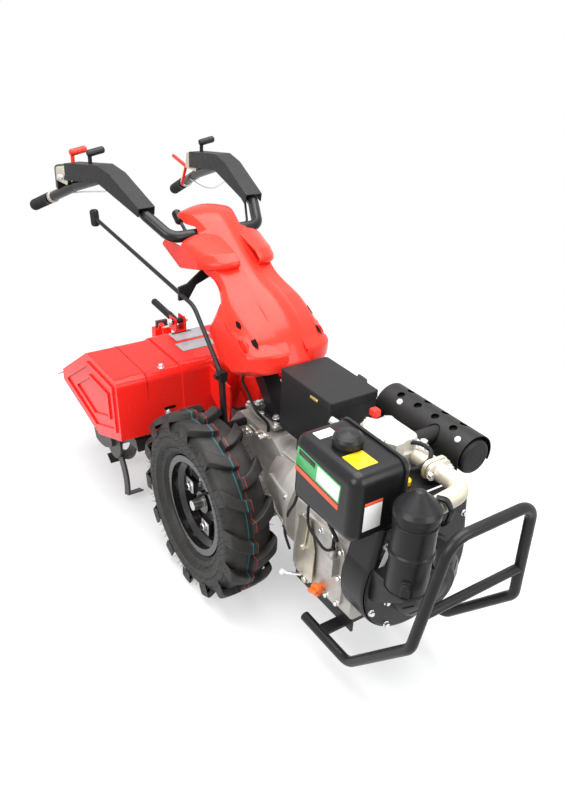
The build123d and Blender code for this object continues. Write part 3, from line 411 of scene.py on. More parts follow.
@dataclass(frozen=True)
class Finish:
    """A surface's colour, gloss and relief, as one procedural material."""

    name: str
    slot: str
    colour: tuple[float, float, float]
    second: tuple[float, float, float]
    rough: float
    metal: float = 0.0
    coat: float = 0.0
    grain: Grain = Grain.PEEL
    grain_mm: float = 3.0
    relief_mm: float = 0.05
    patch_mm: float = 60.0
    patch: float = 0.35
    edge_mm: float = 0.0
    shine: float = 0.5

    def material(self) -> bpy.types.Material:
        """The finish's material, made once.

        Returns:
            A node material on Object coordinates.
        """
        known = bpy.data.materials.get(self.name)
        if known:
            return known
        made = bpy.data.materials.new(self.name)
        made.use_nodes = True
        tree = made.node_tree
        where = wire(tree, "TexCoord", {}).outputs["Object"]
        feed(tree, tree.nodes["Principled BSDF"], {
            "Metallic": self.metal, "Specular IOR Level": self.shine, "Coat Weight": self.coat,
            "Coat Roughness": COAT_ROUGH, "Base Color": self.paint(tree, where),
            "Roughness": self.gloss(tree, where), "Normal": self.relieve(tree, where)})
        made.diffuse_color = (*self.colour, 1.0)
        return made

    def noise(self, tree: Tree, where: Socket, size_mm: float, detail: float = 3.0) -> Socket:
        """Noise of a given size in millimetres, as a socket from 0 to 1."""
        values = {"Scale": 1000.0 / size_mm, "Detail": detail, "Vector": where}
        return wire(tree, "TexNoise", values).outputs["Fac"]

    def paint(self, tree: Tree, where: Socket) -> Socket:
        """Base colour: the two colours mixed by soft patches.

        Args:
            tree: The material's node tree.
            where: Object coordinates.

        Returns:
            The colour's socket.
        """
        patches = self.noise(tree, where, self.patch_mm, 5.0)
        ramp = wire(tree, "MapRange", {"From Min": 0.38, "From Max": 0.72, "To Max": self.patch,
                                       "Value": patches})
        return mixed(tree, ramp.outputs["Result"], (*self.colour, 1.0), (*self.second, 1.0))

    def gloss(self, tree: Tree, where: Socket) -> Socket:
        """Roughness that wanders a little about its middle value.

        Args:
            tree: The material's node tree.
            where: Object coordinates.

        Returns:
            The roughness's socket.
        """
        low, high = self.rough * 0.8, min(1.0, self.rough * 1.2)
        drift = self.noise(tree, where, self.patch_mm * 0.4)
        return wire(tree, "MapRange", {"To Min": low, "To Max": high, "Value": drift}).outputs["Result"]

    def relieve(self, tree: Tree, where: Socket) -> Socket:
        """Bump from the finish's grain, over edges that are rounded where edge_mm is set.

        Args:
            tree: The material's node tree.
            where: Object coordinates.

        Returns:
            The normal's socket.
        """
        relief = {"Strength": 1.0, "Distance": self.relief_mm / 1000.0, "Height": self.heights(tree, where)}
        if self.edge_mm:
            edge = wire(tree, "Bevel", {"Radius": self.edge_mm / 1000.0}, samples=4)
            relief["Normal"] = edge.outputs["Normal"]
        return wire(tree, "Bump", relief).outputs["Normal"]

    def heights(self, tree: Tree, where: Socket) -> Socket:
        """Height of the grain from 0 to 1.

        Args:
            tree: The material's node tree.
            where: Object coordinates.

        Returns:
            The height's socket.
        """
        if self.grain is Grain.PEBBLE:
            cells = {"Scale": 1000.0 / self.grain_mm, "Vector": where}
            return wire(tree, "TexVoronoi", cells).outputs["Distance"]
        if self.grain is Grain.BRUSH:
            where = wire(tree, "Mapping", {"Scale": (1.0, 12.0, 12.0), "Vector": where}).outputs["Vector"]
        return self.noise(tree, where, self.grain_mm, 6.0 if self.grain is Grain.SAND else 2.0)


@dataclass(frozen=True)
class StripedRubber(Finish):
    """Tyre rubber with two thin painted lines round the crown of each tyre."""

    lines: tuple[tuple[float, float, float, float], ...] = ()
    line_half_mm: float = 1.3

    def paint(self, tree: Tree, where: Socket) -> Socket:
        """Base colour: rubber patches, then a line wherever Y lies within its half width.

        Args:
            tree: The material's node tree.
            where: Object coordinates.

        Returns:
            The colour's socket.
        """
        below = super().paint(tree, where)
        across = wire(tree, "SeparateXYZ", {"Vector": where}).outputs["Y"]
        worn = self.noise(tree, where, 14.0, 6.0)
        for y, *colour in self.lines:
            span = {0: across, 1: y / 1000.0, 2: self.line_half_mm / 1000.0}
            near = wire(tree, "Math", span, operation="COMPARE").outputs["Value"]
            fade = wire(tree, "Math", {0: near, 1: worn}, operation="MULTIPLY").outputs["Value"]
            below = mixed(tree, fade, below, (*colour, 1.0))
        return below


RED_STEEL = Finish("red_gloss_steel", "red_steel", (0.80, 0.018, 0.012), (0.74, 0.014, 0.010), 0.26, coat=0.1,
                   grain_mm=4.0, relief_mm=0.02, patch_mm=220, edge_mm=1.6, shine=0.2)
RED_PLASTIC = Finish("red_gloss_plastic", "red_plastic", (0.83, 0.032, 0.018), (0.78, 0.026, 0.014), 0.27,
                     coat=0.1, grain_mm=5.0, relief_mm=0.015, patch_mm=200, edge_mm=2.0, shine=0.2)
BLACK_STEEL = Finish("black_powder_coat", "black_steel", (0.013, 0.013, 0.014), (0.02, 0.02, 0.02), 0.36,
                     coat=0.05, grain_mm=1.6, relief_mm=0.03, edge_mm=0.9, shine=0.2)
BLACK_GLOSS = Finish("black_gloss_tank", "black_steel", (0.010, 0.010, 0.011), (0.016, 0.016, 0.016), 0.30,
                     coat=0.1, grain_mm=2.4, relief_mm=0.012, edge_mm=0.8, shine=0.2)
RIM_BLACK = Finish("black_rim_gloss", "rim_black", (0.008, 0.008, 0.009), (0.014, 0.014, 0.014), 0.2,
                   coat=0.5, grain_mm=4.0, relief_mm=0.02, edge_mm=1.2, shine=0.2)
HEAT_BLACK = Finish("black_heat_paint", "black_steel", (0.014, 0.0135, 0.0135), (0.022, 0.020, 0.018), 0.46,
                    grain_mm=1.2, relief_mm=0.03, edge_mm=0.8, shine=0.2)
CHARCOAL = Finish("charcoal_moulding", "black_plastic", (0.016, 0.016, 0.017), (0.022, 0.022, 0.023), 0.5,
                  grain=Grain.PEBBLE, grain_mm=1.1, relief_mm=0.05, edge_mm=2.4, shine=0.2)
BLACK_MOULDING = Finish("black_moulding", "black_plastic", (0.014, 0.014, 0.015), (0.02, 0.02, 0.02), 0.34,
                        grain=Grain.PEBBLE, grain_mm=0.9, relief_mm=0.02, edge_mm=1.5, shine=0.2)
BOX_BLACK = Finish("black_folded_box", "black_plastic", (0.013, 0.013, 0.014), (0.018, 0.018, 0.019), 0.45,
                   grain_mm=1.4, relief_mm=0.03, edge_mm=1.2, shine=0.2)
RUBBER = Finish("grip_rubber_black", "grip_rubber", (0.013, 0.013, 0.014), (0.02, 0.02, 0.02), 0.62,
                grain_mm=1.0, relief_mm=0.06, shine=0.2)
TYRE = StripedRubber("field_tyre_rubber", "tyre", (0.014, 0.0135, 0.013), (0.030, 0.028, 0.025), 0.52,
                     shine=0.25, grain=Grain.SAND, grain_mm=2.2, relief_mm=0.14, patch_mm=34, patch=0.6,
                     lines=((-236, 0.01, 0.22, 0.24), (-222, 0.42, 0.03, 0.02), (236, 0.01, 0.22, 0.24),
                            (222, 0.42, 0.03, 0.02)))
CASTING = Finish("sand_cast_alloy", "cast_grey", (0.50, 0.48, 0.45), (0.30, 0.28, 0.25), 0.5, metal=0.55,
                 grain=Grain.SAND, grain_mm=3.0, relief_mm=0.22, patch_mm=46, patch=0.7, edge_mm=1.8)
PALE_CASTING = Finish("pale_cast_alloy", "cast_grey", (0.66, 0.64, 0.59), (0.46, 0.43, 0.37), 0.46,
                      metal=0.45, grain=Grain.SAND, grain_mm=2.6, relief_mm=0.16, patch_mm=40,
                      patch=0.6, edge_mm=2.0)
CREAM_CASTING = Finish("yellowed_cast_alloy", "cast_grey", (0.62, 0.56, 0.43), (0.72, 0.69, 0.62), 0.42,
                       metal=0.5, grain=Grain.SAND, grain_mm=2.6, relief_mm=0.12, patch_mm=60,
                       patch=0.8, edge_mm=1.5)
IRON = Finish("grey_painted_iron", "cast_iron_grey", (0.16, 0.16, 0.155), (0.10, 0.10, 0.095), 0.5,
              grain=Grain.SAND, grain_mm=3.4, relief_mm=0.25, edge_mm=2.0)
ZINC = Finish("yellow_zinc", "zinc", (0.66, 0.63, 0.55), (0.58, 0.50, 0.34), 0.34, metal=0.85,
              grain=Grain.BRUSH, grain_mm=2.0, relief_mm=0.02, patch_mm=22, patch=0.8, edge_mm=0.6)
BRIGHT = Finish("bright_zinc", "zinc", (0.74, 0.74, 0.73), (0.55, 0.55, 0.54), 0.28, metal=0.95,
                grain=Grain.BRUSH, grain_mm=1.0, relief_mm=0.02, patch_mm=12)
SHAFT = Finish("turned_shaft", "shaft_steel", (0.55, 0.55, 0.54), (0.42, 0.41, 0.39), 0.3, metal=1.0,
               grain=Grain.BRUSH, grain_mm=1.0, relief_mm=0.02, patch_mm=18, edge_mm=0.8)
TINE = Finish("dark_forged_tine", "tine_steel", (0.035, 0.034, 0.033), (0.075, 0.068, 0.060), 0.45, metal=0.3,
              grain=Grain.SAND, grain_mm=4.0, relief_mm=0.12, patch_mm=30, edge_mm=1.2)
# Near black for the hood's dark joints, and painted shade on the plates that stand in for open slots in the
# cowl, hood and recoil housing.
DARK_JOINT_AND_SLOT_SHADE = Finish("dark_joint_and_slot_shade", "black_plastic", (0.004, 0.004, 0.004), (0.006, 0.006, 0.006), 0.9,
                   shine=0.1)
BRASS = Finish("yellow_passivated", "zinc", (0.62, 0.46, 0.14), (0.70, 0.60, 0.34), 0.36, metal=0.8,
               grain=Grain.BRUSH, grain_mm=1.2, relief_mm=0.02, patch_mm=14, edge_mm=0.6)
WHITE_MOULDING = Finish("white_moulding", "black_plastic", (0.72, 0.72, 0.70), (0.64, 0.64, 0.62), 0.4,
                        edge_mm=0.6)


def label(name: str, colour: tuple[float, float, float]) -> Finish:
    """Printed film of one colour with nothing on it."""
    faded = tuple(0.9 * c + 0.02 for c in colour)
    return Finish(f"blank_label_{name}", "black_plastic", colour, faded, 0.32, relief_mm=0.01, patch_mm=25)


LABEL_GREEN = label("green", (0.05, 0.38, 0.10))
LABEL_WHITE = label("white", (0.80, 0.80, 0.78))
LABEL_BLACK = label("black", (0.012, 0.012, 0.012))
LABEL_ORANGE = label("orange", (0.78, 0.09, 0.03))
LABEL_YELLOW = label("yellow", (0.86, 0.56, 0.01))
LABEL_GREY = label("grey", (0.42, 0.40, 0.42))
ORANGE = Finish("orange_cap", "orange_plastic", (0.86, 0.16, 0.02), (0.78, 0.13, 0.015), 0.36,
                grain=Grain.PEBBLE, grain_mm=1.0, relief_mm=0.02, edge_mm=1.0)

SOLIDS: dict[Finish, str] = {
    RIM_BLACK: "rim_right rim_left wheel_hub_right wheel_hub_left",
    SHAFT: "axle_shaft_right axle_shaft_left",
    CASTING: "gearbox engine_block cylinder injection_pump",
    PALE_CASTING: "cylinder_head",
    CREAM_CASTING: "intake_elbow",
    IRON: "tiller_case",
    BLACK_STEEL: "front_guard guard_crossbar engine_bed battery_stand column tank_bracket fan_housing "
                 "recoil_starter shift_rod speed_lever starter_motor depth_lever",
    BLACK_GLOSS: "fuel_tank handlebar",
    HEAT_BLACK: "muffler heat_shield",
    RED_STEEL: "depth_stand tiller_hood tiller_wing_right tiller_wing_left flap",
    RED_PLASTIC: "cowl decompression_lever arm_knob_red bar_clutch_lever",
    ZINC: "governor_plate",
    ORANGE: "oil_filler",
    TINE: "tine_rotor skid",
    BLACK_MOULDING: "air_cleaner fuel_cap lever_knobs arm_knobs",
    BOX_BLACK: "battery_box",
    CHARCOAL: "arm_cover_right arm_cover_left",
    RUBBER: "lever_grip control_cables bar_cables fuel_hose grip_right grip_left",
    TYRE: "tyre_right tyre_left",
}


def dress_solids() -> None:
    """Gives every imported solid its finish."""
    for finish, names in SOLIDS.items():
        for name in names.split():
            solid = frame["nodes"][name]
            solid.data.materials.clear()
            solid.data.materials.append(finish.material())


def piece(name: str, surface: Surface, finish: Finish, body: str, sharp_deg: float = 38.0,
          stands_for: Sequence[str] = ()) -> bpy.types.Object:
    """One new piece of the machine from its surface.

    Args:
        name: Plain name of the piece.
        surface: Points in millimetres and faces.
        finish: Its material.
        body: The body that carries it.
        sharp_deg: Edges that turn by more than this stay sharp.
        stands_for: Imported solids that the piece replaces.

    Returns:
        The linked object, riding on its body.
    """
    mesh = bpy.data.meshes.new(name)
    rows = [row for block in surface.faces for row in block.tolist()]
    mesh.from_pydata(place(surface.points), [], rows)
    work = bmesh.new()
    work.from_mesh(mesh)
    bmesh.ops.remove_doubles(work, verts=work.verts, dist=2e-6)
    bmesh.ops.dissolve_degenerate(work, edges=work.edges, dist=1e-6)
    bmesh.ops.recalc_face_normals(work, faces=work.faces)
    work.to_mesh(mesh)
    work.free()
    mesh.polygons.foreach_set("use_smooth", np.ones(len(mesh.polygons), bool))
    mesh.set_sharp_from_angle(angle=math.radians(sharp_deg))
    mesh.materials.append(finish.material())
    made = bpy.data.objects.new(name, mesh)
    bpy.context.scene.collection.objects.link(made)
    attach(made, body)
    if stands_for:
        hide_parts(*stands_for)
    LOG.info("%s on %s: %d faces", name, body, len(mesh.polygons))
    return made


class Trim:
    """Pieces that ride on one body."""

    body: str

    def add(self, name: str, surface: Surface, finish: Finish, sharp_deg: float = 38.0,
            stands_for: Sequence[str] = ()) -> None:
        """One piece on the body, with the arguments of piece."""
        piece(name, surface, finish, self.body, sharp_deg, stands_for)

    def fasten(self, name: str, size: Point, spots: Array, axis: Point, finish: Finish = BRIGHT) -> None:
        """Bolts on the body: one of a size, as bolt takes it, on each spot along an axis."""
        self.add(name, stamp(bolt(*size), spots, axis), finish)


# Wheels


@dataclass
class FieldWheel(Trim):
    """Tyre with slanted lugs, hairs left from its mould, and the bolts of its rim."""

    side: int
    body: str
    outer_r: float = 260.0
    half_width: float = 66.0
    lug_height: float = 20.0
    lugs: int = 14
    middle_y: float = 225.0
    bolt_r: float = 84.0
    bolts: int = 4
    hairs: int = 64

    @property
    def centre(self) -> Array:
        """Middle of the wheel."""
        return np.array([0.0, self.side * self.middle_y, self.outer_r])

    def ring(self, angle: Array, across: Array, radius: Array) -> Array:
        """Points at an angle from the top towards the front, a distance out from the wheel's middle
        plane and a radius."""
        turned = (radius * np.sin(angle), self.side * across, radius * np.cos(angle))
        return self.centre + np.stack(np.broadcast_arrays(*turned), axis=-1)

    def carcass(self) -> Surface:
        """Tyre body: a bead to bead profile turned round the axle, with raised rings on the sidewall.

        Returns:
            The closed ring.
        """
        half = [(143, 39), (146, 44), (151, 48), (153, 51.5), (156, 51), (168, 57), (178, 61), (180, 63.5),
                (184, 63.5), (187, 63), (200, 65.6), (212, 65), (222, 61.5), (231, 55.5), (237, 47),
                (240, 36), (240.5, 18)]
        profile = np.array(half + [(r, -y) for r, y in half[::-1]], float)
        turn = np.linspace(0, 2 * math.pi, 144, endpoint=False)
        points = self.ring(turn[:, None], profile[None, :, 1], profile[None, :, 0])
        return grid(points, wrap_u=True, wrap_v=True)

    def lug_rows(self) -> Surface:
        """Both rows of lugs. Along a lug its middle line runs from beyond the crown's middle to the
        shoulder and falls back by a curved sweep; across it, the section is a flat topped ridge
        with sloped flanks whose top drops at the shoulder.

        Returns:
            The lugs, their open edges sunk in the tyre's body.
        """
        along = np.array([0, 0, 0.02, 0.08, 0.2, 0.35, 0.5, 0.65, 0.78, 0.88, 0.95, 0.985, 1, 1, 1])
        lift = np.array([0, 0.9, 0.97, 1, 1, 1, 1, 1, 1, 0.99, 0.93, 0.8, 0.62, -0.6, -1.25])
        across = np.array([-1.16, -1.04, -0.96, -0.84, -0.5, 0, 0.5, 0.84, 0.96, 1.04, 1.16])
        ridge = np.array([0, 0.86, 0.97, 1, 1, 1, 1, 1, 0.97, 0.86, 0])
        y = -6 + (self.half_width + 6) * along
        reach = np.clip(y / self.half_width, 0, 1)
        sweep = 40 * np.cos(np.pi / 2 * reach) ** 1.15 + np.where(y < 0, -y * 0.3, 0)
        width = 15 + 5.5 * reach**1.5
        floor = self.outer_r - self.lug_height - 1.5
        top = self.outer_r - 0.4 - 5 * reach**4
        drop = np.where(lift < 0, lift * self.lug_height, 0)
        raised = floor + (top[:, None] - floor) * np.minimum(lift[:, None], 1) * ridge
        height = np.where(lift[:, None] > 0, raised, floor + drop[:, None])
        place_along = (sweep[:, None] + width[:, None] * across[None]) / self.outer_r
        outward = np.where(lift < 0, 0.5, 0)
        out = np.broadcast_to((y + outward)[:, None], height.shape)
        step = 2 * math.pi / self.lugs
        start = np.arange(self.lugs)[:, None, None] * step
        rows = []
        for flip, shift in ((1, 0.0), (-1, 0.5)):
            points = self.ring(place_along[None] + start + shift * step, flip * out[None], height[None])
            one = grid(points[0])
            count = points.shape[1] * points.shape[2]
            offset = (np.arange(self.lugs) * count)[:, None, None]
            rows.append(Surface(points.reshape(-1, 3), [(one.faces[0][None] + offset).reshape(-1, 4)]))
        return rows[0] + rows[1]

    def hair(self) -> Surface:
        """Thin tapered rubber hairs standing out of both shoulders and the outer sidewall.

        Returns:
            The hairs of one tyre.
        """
        rng = np.random.default_rng(7 + self.side)
        turn = np.linspace(0, 2 * math.pi, self.hairs, endpoint=False) + rng.uniform(-0.02, 0.02, self.hairs)
        thorn = lathe([(0.9, -2), (0.8, 0), (0.65, 6), (0.4, 12)], ORIGIN, UP, 4)
        made = []
        for radius, out, lean in ((218, 63, 0.9), (196, 65, 1.2), (166, 56, 1.4), (218, -63, 0.9)):
            root = self.ring(turn, np.full(self.hairs, float(out)), np.full(self.hairs, float(radius)))
            away = (root - self.centre) / radius
            aim = away + lean * np.array([0, self.side * np.sign(out), 0]) + rng.normal(0, 0.16, root.shape)
            made.append(stamp(thorn, root, aim))
        return join(made)

    def tab_spots(self, out: float) -> Array:
        """Where the wheel bolts stand, a distance outboard of the middle plane."""
        turn = np.arange(self.bolts) * 2 * math.pi / self.bolts + math.pi / 2
        return self.ring(turn, np.full(self.bolts, out), np.full(self.bolts, self.bolt_r))

    def build(self) -> None:
        """Makes the tyre, its hairs and the rim's fittings."""
        name = "right" if self.side < 0 else "left"
        outward = np.array([0.0, self.side, 0.0])
        self.add(f"field_tyre_{name}", self.carcass() + self.lug_rows(), TYRE, 50, (f"tyre_{name}",))
        self.add(f"tyre_hairs_{name}", self.hair(), TYRE)
        self.fasten(f"wheel_nuts_{name}", (20, 9, 1.6), self.tab_spots(4.0), outward)
        tabs = []
        for spot in self.tab_spots(4.1):
            away = (spot - self.centre) * np.array([1, 0, 1])
            along = np.cross(outward, away)
            seat = spot + away / self.bolt_r * 4
            tabs.append(slab(rounded(40, 40, 5), seat, along, np.cross(outward, along), 1.2, 0.5))
        self.add(f"rim_tabs_{name}", join(tabs), CASTING)
        shape = [(4.2, -8), (4.2, 10), (3.4, 12), (3.4, 20), (4.4, 21), (4.4, 31), (3.6, 33), (0.5, 33)]
        root = self.ring(np.array([0.7]), np.array([36.0]), np.array([118.0]))[0]
        stem = lathe(shape, root, outward * 0.9 + np.array([-0.2, 0, -0.3]), 16)
        self.add(f"valve_stem_{name}", stem, RUBBER)


# Handles


@dataclass
class Handles(Trim):
    """Grips, knobs and small fittings that move with the handlebar."""

    grip_end: tuple[float, float, float] = (-1122.0, 262.0, 794.0)
    last_elbow: tuple[float, float, float] = (-850.0, 214.0, 915.0)
    grip_r: float = 19.0
    grip_length: float = 128.0
    body: str = "handlebar"

    def grip(self, side: int) -> Surface:
        """Rubber sleeve: its radius rises and falls in rings between a round end and a collar.

        Args:
            side: -1 for the machine's right, 1 for its left.

        Returns:
            The closed sleeve.
        """
        mirror = np.array([1.0, side, 1.0])
        end, before = np.array(self.grip_end) * mirror, np.array(self.last_elbow) * mirror
        along = np.linspace(0, self.grip_length, 150)
        ringed = (along > 14) & (along < 108)
        ribs = np.where(ringed, np.clip(np.sin(along / 7.4 * 2 * math.pi) * 2.2, -1, 1), 1)
        radius = self.grip_r - 1.3 + 1.2 * ribs
        radius = np.where(along < 5, radius * np.sqrt(np.clip(1 - ((5 - along) / 5.4) ** 2, 0, 1)), radius)
        radius = np.where(along > 118, self.grip_r - 0.1, radius)
        profile = np.stack((radius, along - 8), axis=-1)
        closing = np.array([[16.4, self.grip_length - 8]])
        return lathe(np.vstack((profile, closing)), end, before - end, 40)

    def arm_end(self) -> None:
        """Right arm: zinc bracket behind the cover and the black cap on its end."""
        u, v = np.array([0.995, 0.1, 0]), np.array([0.15, 0, 0.99])
        sides = [slab(rounded(78, 44, 6), (-896, y, 938), u, v, 3, 0.8) for y in (-238, -196)]
        roof = slab(rounded(70, 40, 4), (-892, -218, 958), u, LEFT, 3, 0.8)
        self.add("arm_bracket_right", join(sides) + roof, ZINC)
        spots = np.array([(-880, -242, 936), (-912, -239, 931)], float)
        self.fasten("arm_bracket_bolts", (13, 7, 1.6), spots, RIGHT)
        cap = slab(rounded(46, 80, 12), (-930, -221, 922), RIGHT, UP, 22, 5)
        self.add("arm_end_cap_right", cap, BLACK_MOULDING)
        plates = [slab(rounded(64, 54, 6), (-858, y, 952), -u, v, 3, 0.8) for y in (240, 192)]
        self.add("arm_bracket_left", join(plates), ZINC)

    def fittings(self) -> None:
        """Hand lever clamps on the bars and the thin cables below the arms."""
        mirror = np.array([1.0, -1.0, 1.0])
        end, before = np.array(self.grip_end), np.array(self.last_elbow)
        along = unit(before - end)
        clamp = [(16.2, 0), (20, 1), (20, 13), (16.2, 14)]
        ring = lathe(clamp, end + 150 * along, along, 28)
        other = lathe(clamp, (end + 132 * along) * mirror, along * mirror, 28)
        self.add("bar_clamps", ring + other, CASTING)
        right = bend([(-596, -193, 962), (-660, -196, 940), (-744, -205, 921), (-848, -212, 895),
                      (-930, -222, 872)], 30)
        self.add("arm_cable_right", carry(right, circle(2.2, 8)), BRIGHT)
        left = bend([(-596, 188, 962), (-632, 186, 934), (-700, 190, 900), (-780, 198, 884),
                     (-900, 210, 884)], 30)
        self.add("arm_cable_left", carry(left, circle(2.2, 8)), BRIGHT)

    def build(self) -> None:
        """Makes the pieces on both arms."""
        for name, side in (("right", -1), ("left", 1)):
            self.add(f"ribbed_grip_{name}", self.grip(side), RUBBER, 60, (f"grip_{name}",))
        self.arm_end()
        self.fittings()


# Engine


@dataclass
class EngineTrim(Trim):
    """Fittings, fixings, hoses and blank labels on the engine."""

    body: str = "chassis"
    tank_side_y: float = -228.0
    tank_top_z: float = 690.0
    tank_front_x: float = 600.0
    tank_middle: tuple[float, float, float] = (492.5, -100.0, 606.0)
    tank_size: tuple[float, float] = (215.0, 168.0)
    tank_round: float = 26.0
    head_top_z: float = 618.0
    crank_z: float = 346.0
    fan_x: float = 582.0
    case_y: float = -124.0
    muffler_axis: tuple[float, float] = (186.0, 570.0)

    def tank(self) -> None:
        """Seam flange round the tank and the blank fields where its labels were."""
        seam = hoop(rounded(*self.tank_size, self.tank_round, 8), self.tank_middle, FORWARD, UP, 7, 5)
        self.add("tank_seam", seam, BLACK_GLOSS)
        u, v = np.array([0.996, 0, -0.087]), np.array([0.087, 0, 0.996])
        mid = np.array([478.0, self.tank_side_y, 634.0])
        films = {
            "green": (LABEL_GREEN, [slab(rounded(152, 46, 2), mid, u, v, 0.3, 0.1)]),
            "white": (LABEL_WHITE, [
                slab(rounded(76, 38, 2), mid + 35 * u, u, v, 0.5, 0.1),
                slab(rounded(28, 46, 2), (428, -177, self.tank_top_z), FORWARD, LEFT, 0.4, 0.1),
                slab(rounded(46, 70, 2), (self.tank_front_x, -177, 590), LEFT, UP, 0.4, 0.1)]),
            "black": (LABEL_BLACK, [slab(rounded(58, 14, 1), mid - 40 * u + 13 * v, u, v, 0.5, 0.1)]),
            "orange": (LABEL_ORANGE, [
                slab(rounded(152, 12, 1), mid - 33 * v, u, v, 0.4, 0.1),
                slab(rounded(46, 8, 1), (self.tank_front_x, -177, 621), LEFT, UP, 0.6, 0.1)]),
            "yellow": (LABEL_YELLOW, [
                slab(rounded(52, 52, 2), (544, -176, self.tank_top_z), FORWARD, LEFT, 0.4, 0.1)]),
        }
        for name, (finish, films_of_colour) in films.items():
            self.add(f"tank_films_{name}", join(films_of_colour), finish)

    def head(self) -> None:
        """Rocker cover with bosses and screws, injector bodies and the bleed hose loop."""
        corners = np.array([(-57, 4), (-46, -22), (-16, -44), (30, -40), (52, -20), (50, 6), (28, 50),
                            (8, 52)], float)
        cover = slab(corners, (427, -18, self.head_top_z), FORWARD, LEFT, 38, 7)
        post = lathe([(25, -16), (25, 36), (22, 39), (8, 40)], (478, -24, self.head_top_z), UP, 6)
        bosses = np.array([(377, -16), (436, 30), (473, 2), (404, -58), (452, -54), (392, 24)], float)
        feet = np.column_stack((bosses, np.full(len(bosses), self.head_top_z)))
        cup = lathe([(9, 0), (9, 28), (8, 31), (3, 31)], ORIGIN, UP, 14)
        self.add("rocker_cover", cover + post + stamp(cup, feet, UP), PALE_CASTING, 30)
        tops = feet + np.array([0, 0, 31])
        studs = np.array([(372, -58), (372, 58), (488, -58), (488, 58)], float)
        nuts = np.column_stack((studs, np.full(len(studs), self.head_top_z)))
        fixings = stamp(bolt(9, 5, 1.2), tops, UP) + stamp(bolt(17, 13, 2), nuts, UP)
        self.add("head_fixings", fixings, BRIGHT)
        barrel = [(3, 0), (8, 0), (8.5, 2), (8.5, 22), (6.5, 24), (6.5, 30), (9, 31), (9, 40), (5, 42),
                  (5, 56)]
        made = [lathe(barrel, (352, -104, 664), (0.86, 0.42, -0.3), 18),
                lathe(barrel, (424, -98, 652), (0.80, 0.50, -0.34), 18)]
        self.add("injectors", join(made), CASTING)
        loop = bend([(478, 20, 634), (500, 34, 640), (534, 40, 636), (548, 18, 622), (536, -16, 604),
                     (505, -24, 598)], 14)
        self.add("bleed_hose", carry(loop, circle(5, 12)), RUBBER)
        line = bend([(440, -135, 374), (440, -137, 400), (400, -118, 440), (372, -98, 520), (372, -92, 610),
                     (384, -86, 646)], 18)
        self.add("injector_line", carry(line, circle(3, 10)), BRIGHT)

    def intake(self) -> None:
        """Flanged joint of the intake elbow, its gasket cap and the cleaner's strap and clip."""
        plate = slab(rounded(70, 46, 18), (548, 34, 606), LEFT, UP, 9, 1.5)
        plate += slab(rounded(66, 42, 16), (560, 34, 606), LEFT, UP, 8, 1.5)
        self.add("intake_flange", plate, CREAM_CASTING)
        ears = np.array([(568, 5, 606), (568, 63, 606)], float)
        self.fasten("intake_bolts", (12, 8, 1.5), ears, FORWARD)
        plug = lathe([(11, 0), (13, 2), (13, 12), (10, 15), (4, 15)], (538, -34, 577), UP, 24)
        self.add("yellow_plug", plug, LABEL_YELLOW)
        strap = bend([(658, -64, 628), (676, -52, 630), (688, -46, 606), (684, -50, 574),
                      (664, -62, 566)], 10)
        self.add("cleaner_strap", carry(strap, rounded(16, 6, 2, 3)), BLACK_MOULDING)
        away = np.array([0.675, -0.738, 0.0])
        axis = np.array([658.0, -112.0, 0.0])
        across = np.cross(UP, away)
        clip = slab(rounded(20, 40, 4), axis + 44 * away + np.array([0, 0, 448]), across, UP, 6, 1.5)
        clip += slab(rounded(14, 14, 3), axis + 48 * away + np.array([0, 0, 456]), across, UP, 6, 1.5)
        self.add("cleaner_clip", clip, BLACK_MOULDING)
        bands = [lathe([(r, z - 2.5), (r + 1.6, z - 1.5), (r + 1.6, z + 1.5), (r, z + 2.5)], axis, UP, 56)
                 for r, z in ((45.5, 420.0), (46.5, 590.0))]
        self.add("cleaner_bands", join(bands), BLACK_MOULDING)

    def exhaust(self) -> None:
        """Screws of the heat shield and beads on the muffler's front end."""
        y, z = self.muffler_axis
        lean = np.array([0.0, -0.616, 0.787])
        spots = np.array([(301, y, z), (502, y, z)], float) + 54.4 * lean
        dome = lathe([(8, 0), (8, 1.5), (6.5, 4), (3, 5.5)], ORIGIN, UP, 18)
        self.add("shield_screws", stamp(dome, spots, lean), WHITE_MOULDING)
        rings = [lathe([(r - 2, 0), (r - 1, 0.9), (r + 1, 0.9), (r + 2, 0)], (535.6, y, z), FORWARD, 48)
                 for r in (19, 30)]
        self.add("muffler_beads", join(rings), HEAT_BLACK)

    def case_side(self) -> None:
        """Bolts of the timing cover, governor rod with its ball, oil cap wing and thin hoses."""
        edge = [(302, 214), (302, 370), (380, 379), (460, 370), (460, 292), (460, 214), (420, 209)]
        spots = np.array([(x, self.case_y, z) for x, z in edge], float)
        self.fasten("case_bolts", (11, 7, 1.5), spots, RIGHT)
        self.add("governor_rod", tube([(332, -140, 214), (310, -150, 204), (292, -162, 200)], 4), BRIGHT)
        turn = np.linspace(0.05, math.pi - 0.05, 14)
        ball = np.stack((9 * np.sin(turn), -9 * np.cos(turn)), axis=-1)
        self.add("governor_ball", lathe(ball, (288, -165, 199), UP, 24), WHITE_MOULDING)
        wing = slab(rounded(34, 11, 5), (402, self.case_y - 26, 220), (0.92, 0, 0.38), (-0.38, 0, 0.92),
                    10, 2)
        self.add("oil_cap_wing", wing, ORANGE)
        drain = np.array([(336, self.case_y, 196), (430, self.case_y, 300)], float)
        self.fasten("drain_plugs", (17, 9, 2), drain, RIGHT, ZINC)
        hoses = [bend([(318, -150, 524), (300, -146, 420), (258, -140, 350), (246, -138, 290),
                       (262, -128, 240)], 24),
                 bend([(380, -150, 523), (356, -152, 440), (362, -152, 388), (430, -150, 362),
                       (458, -146, 388)], 20)]
        self.add("side_hoses", join([carry(path, circle(3.6, 10)) for path in hoses]), RUBBER)

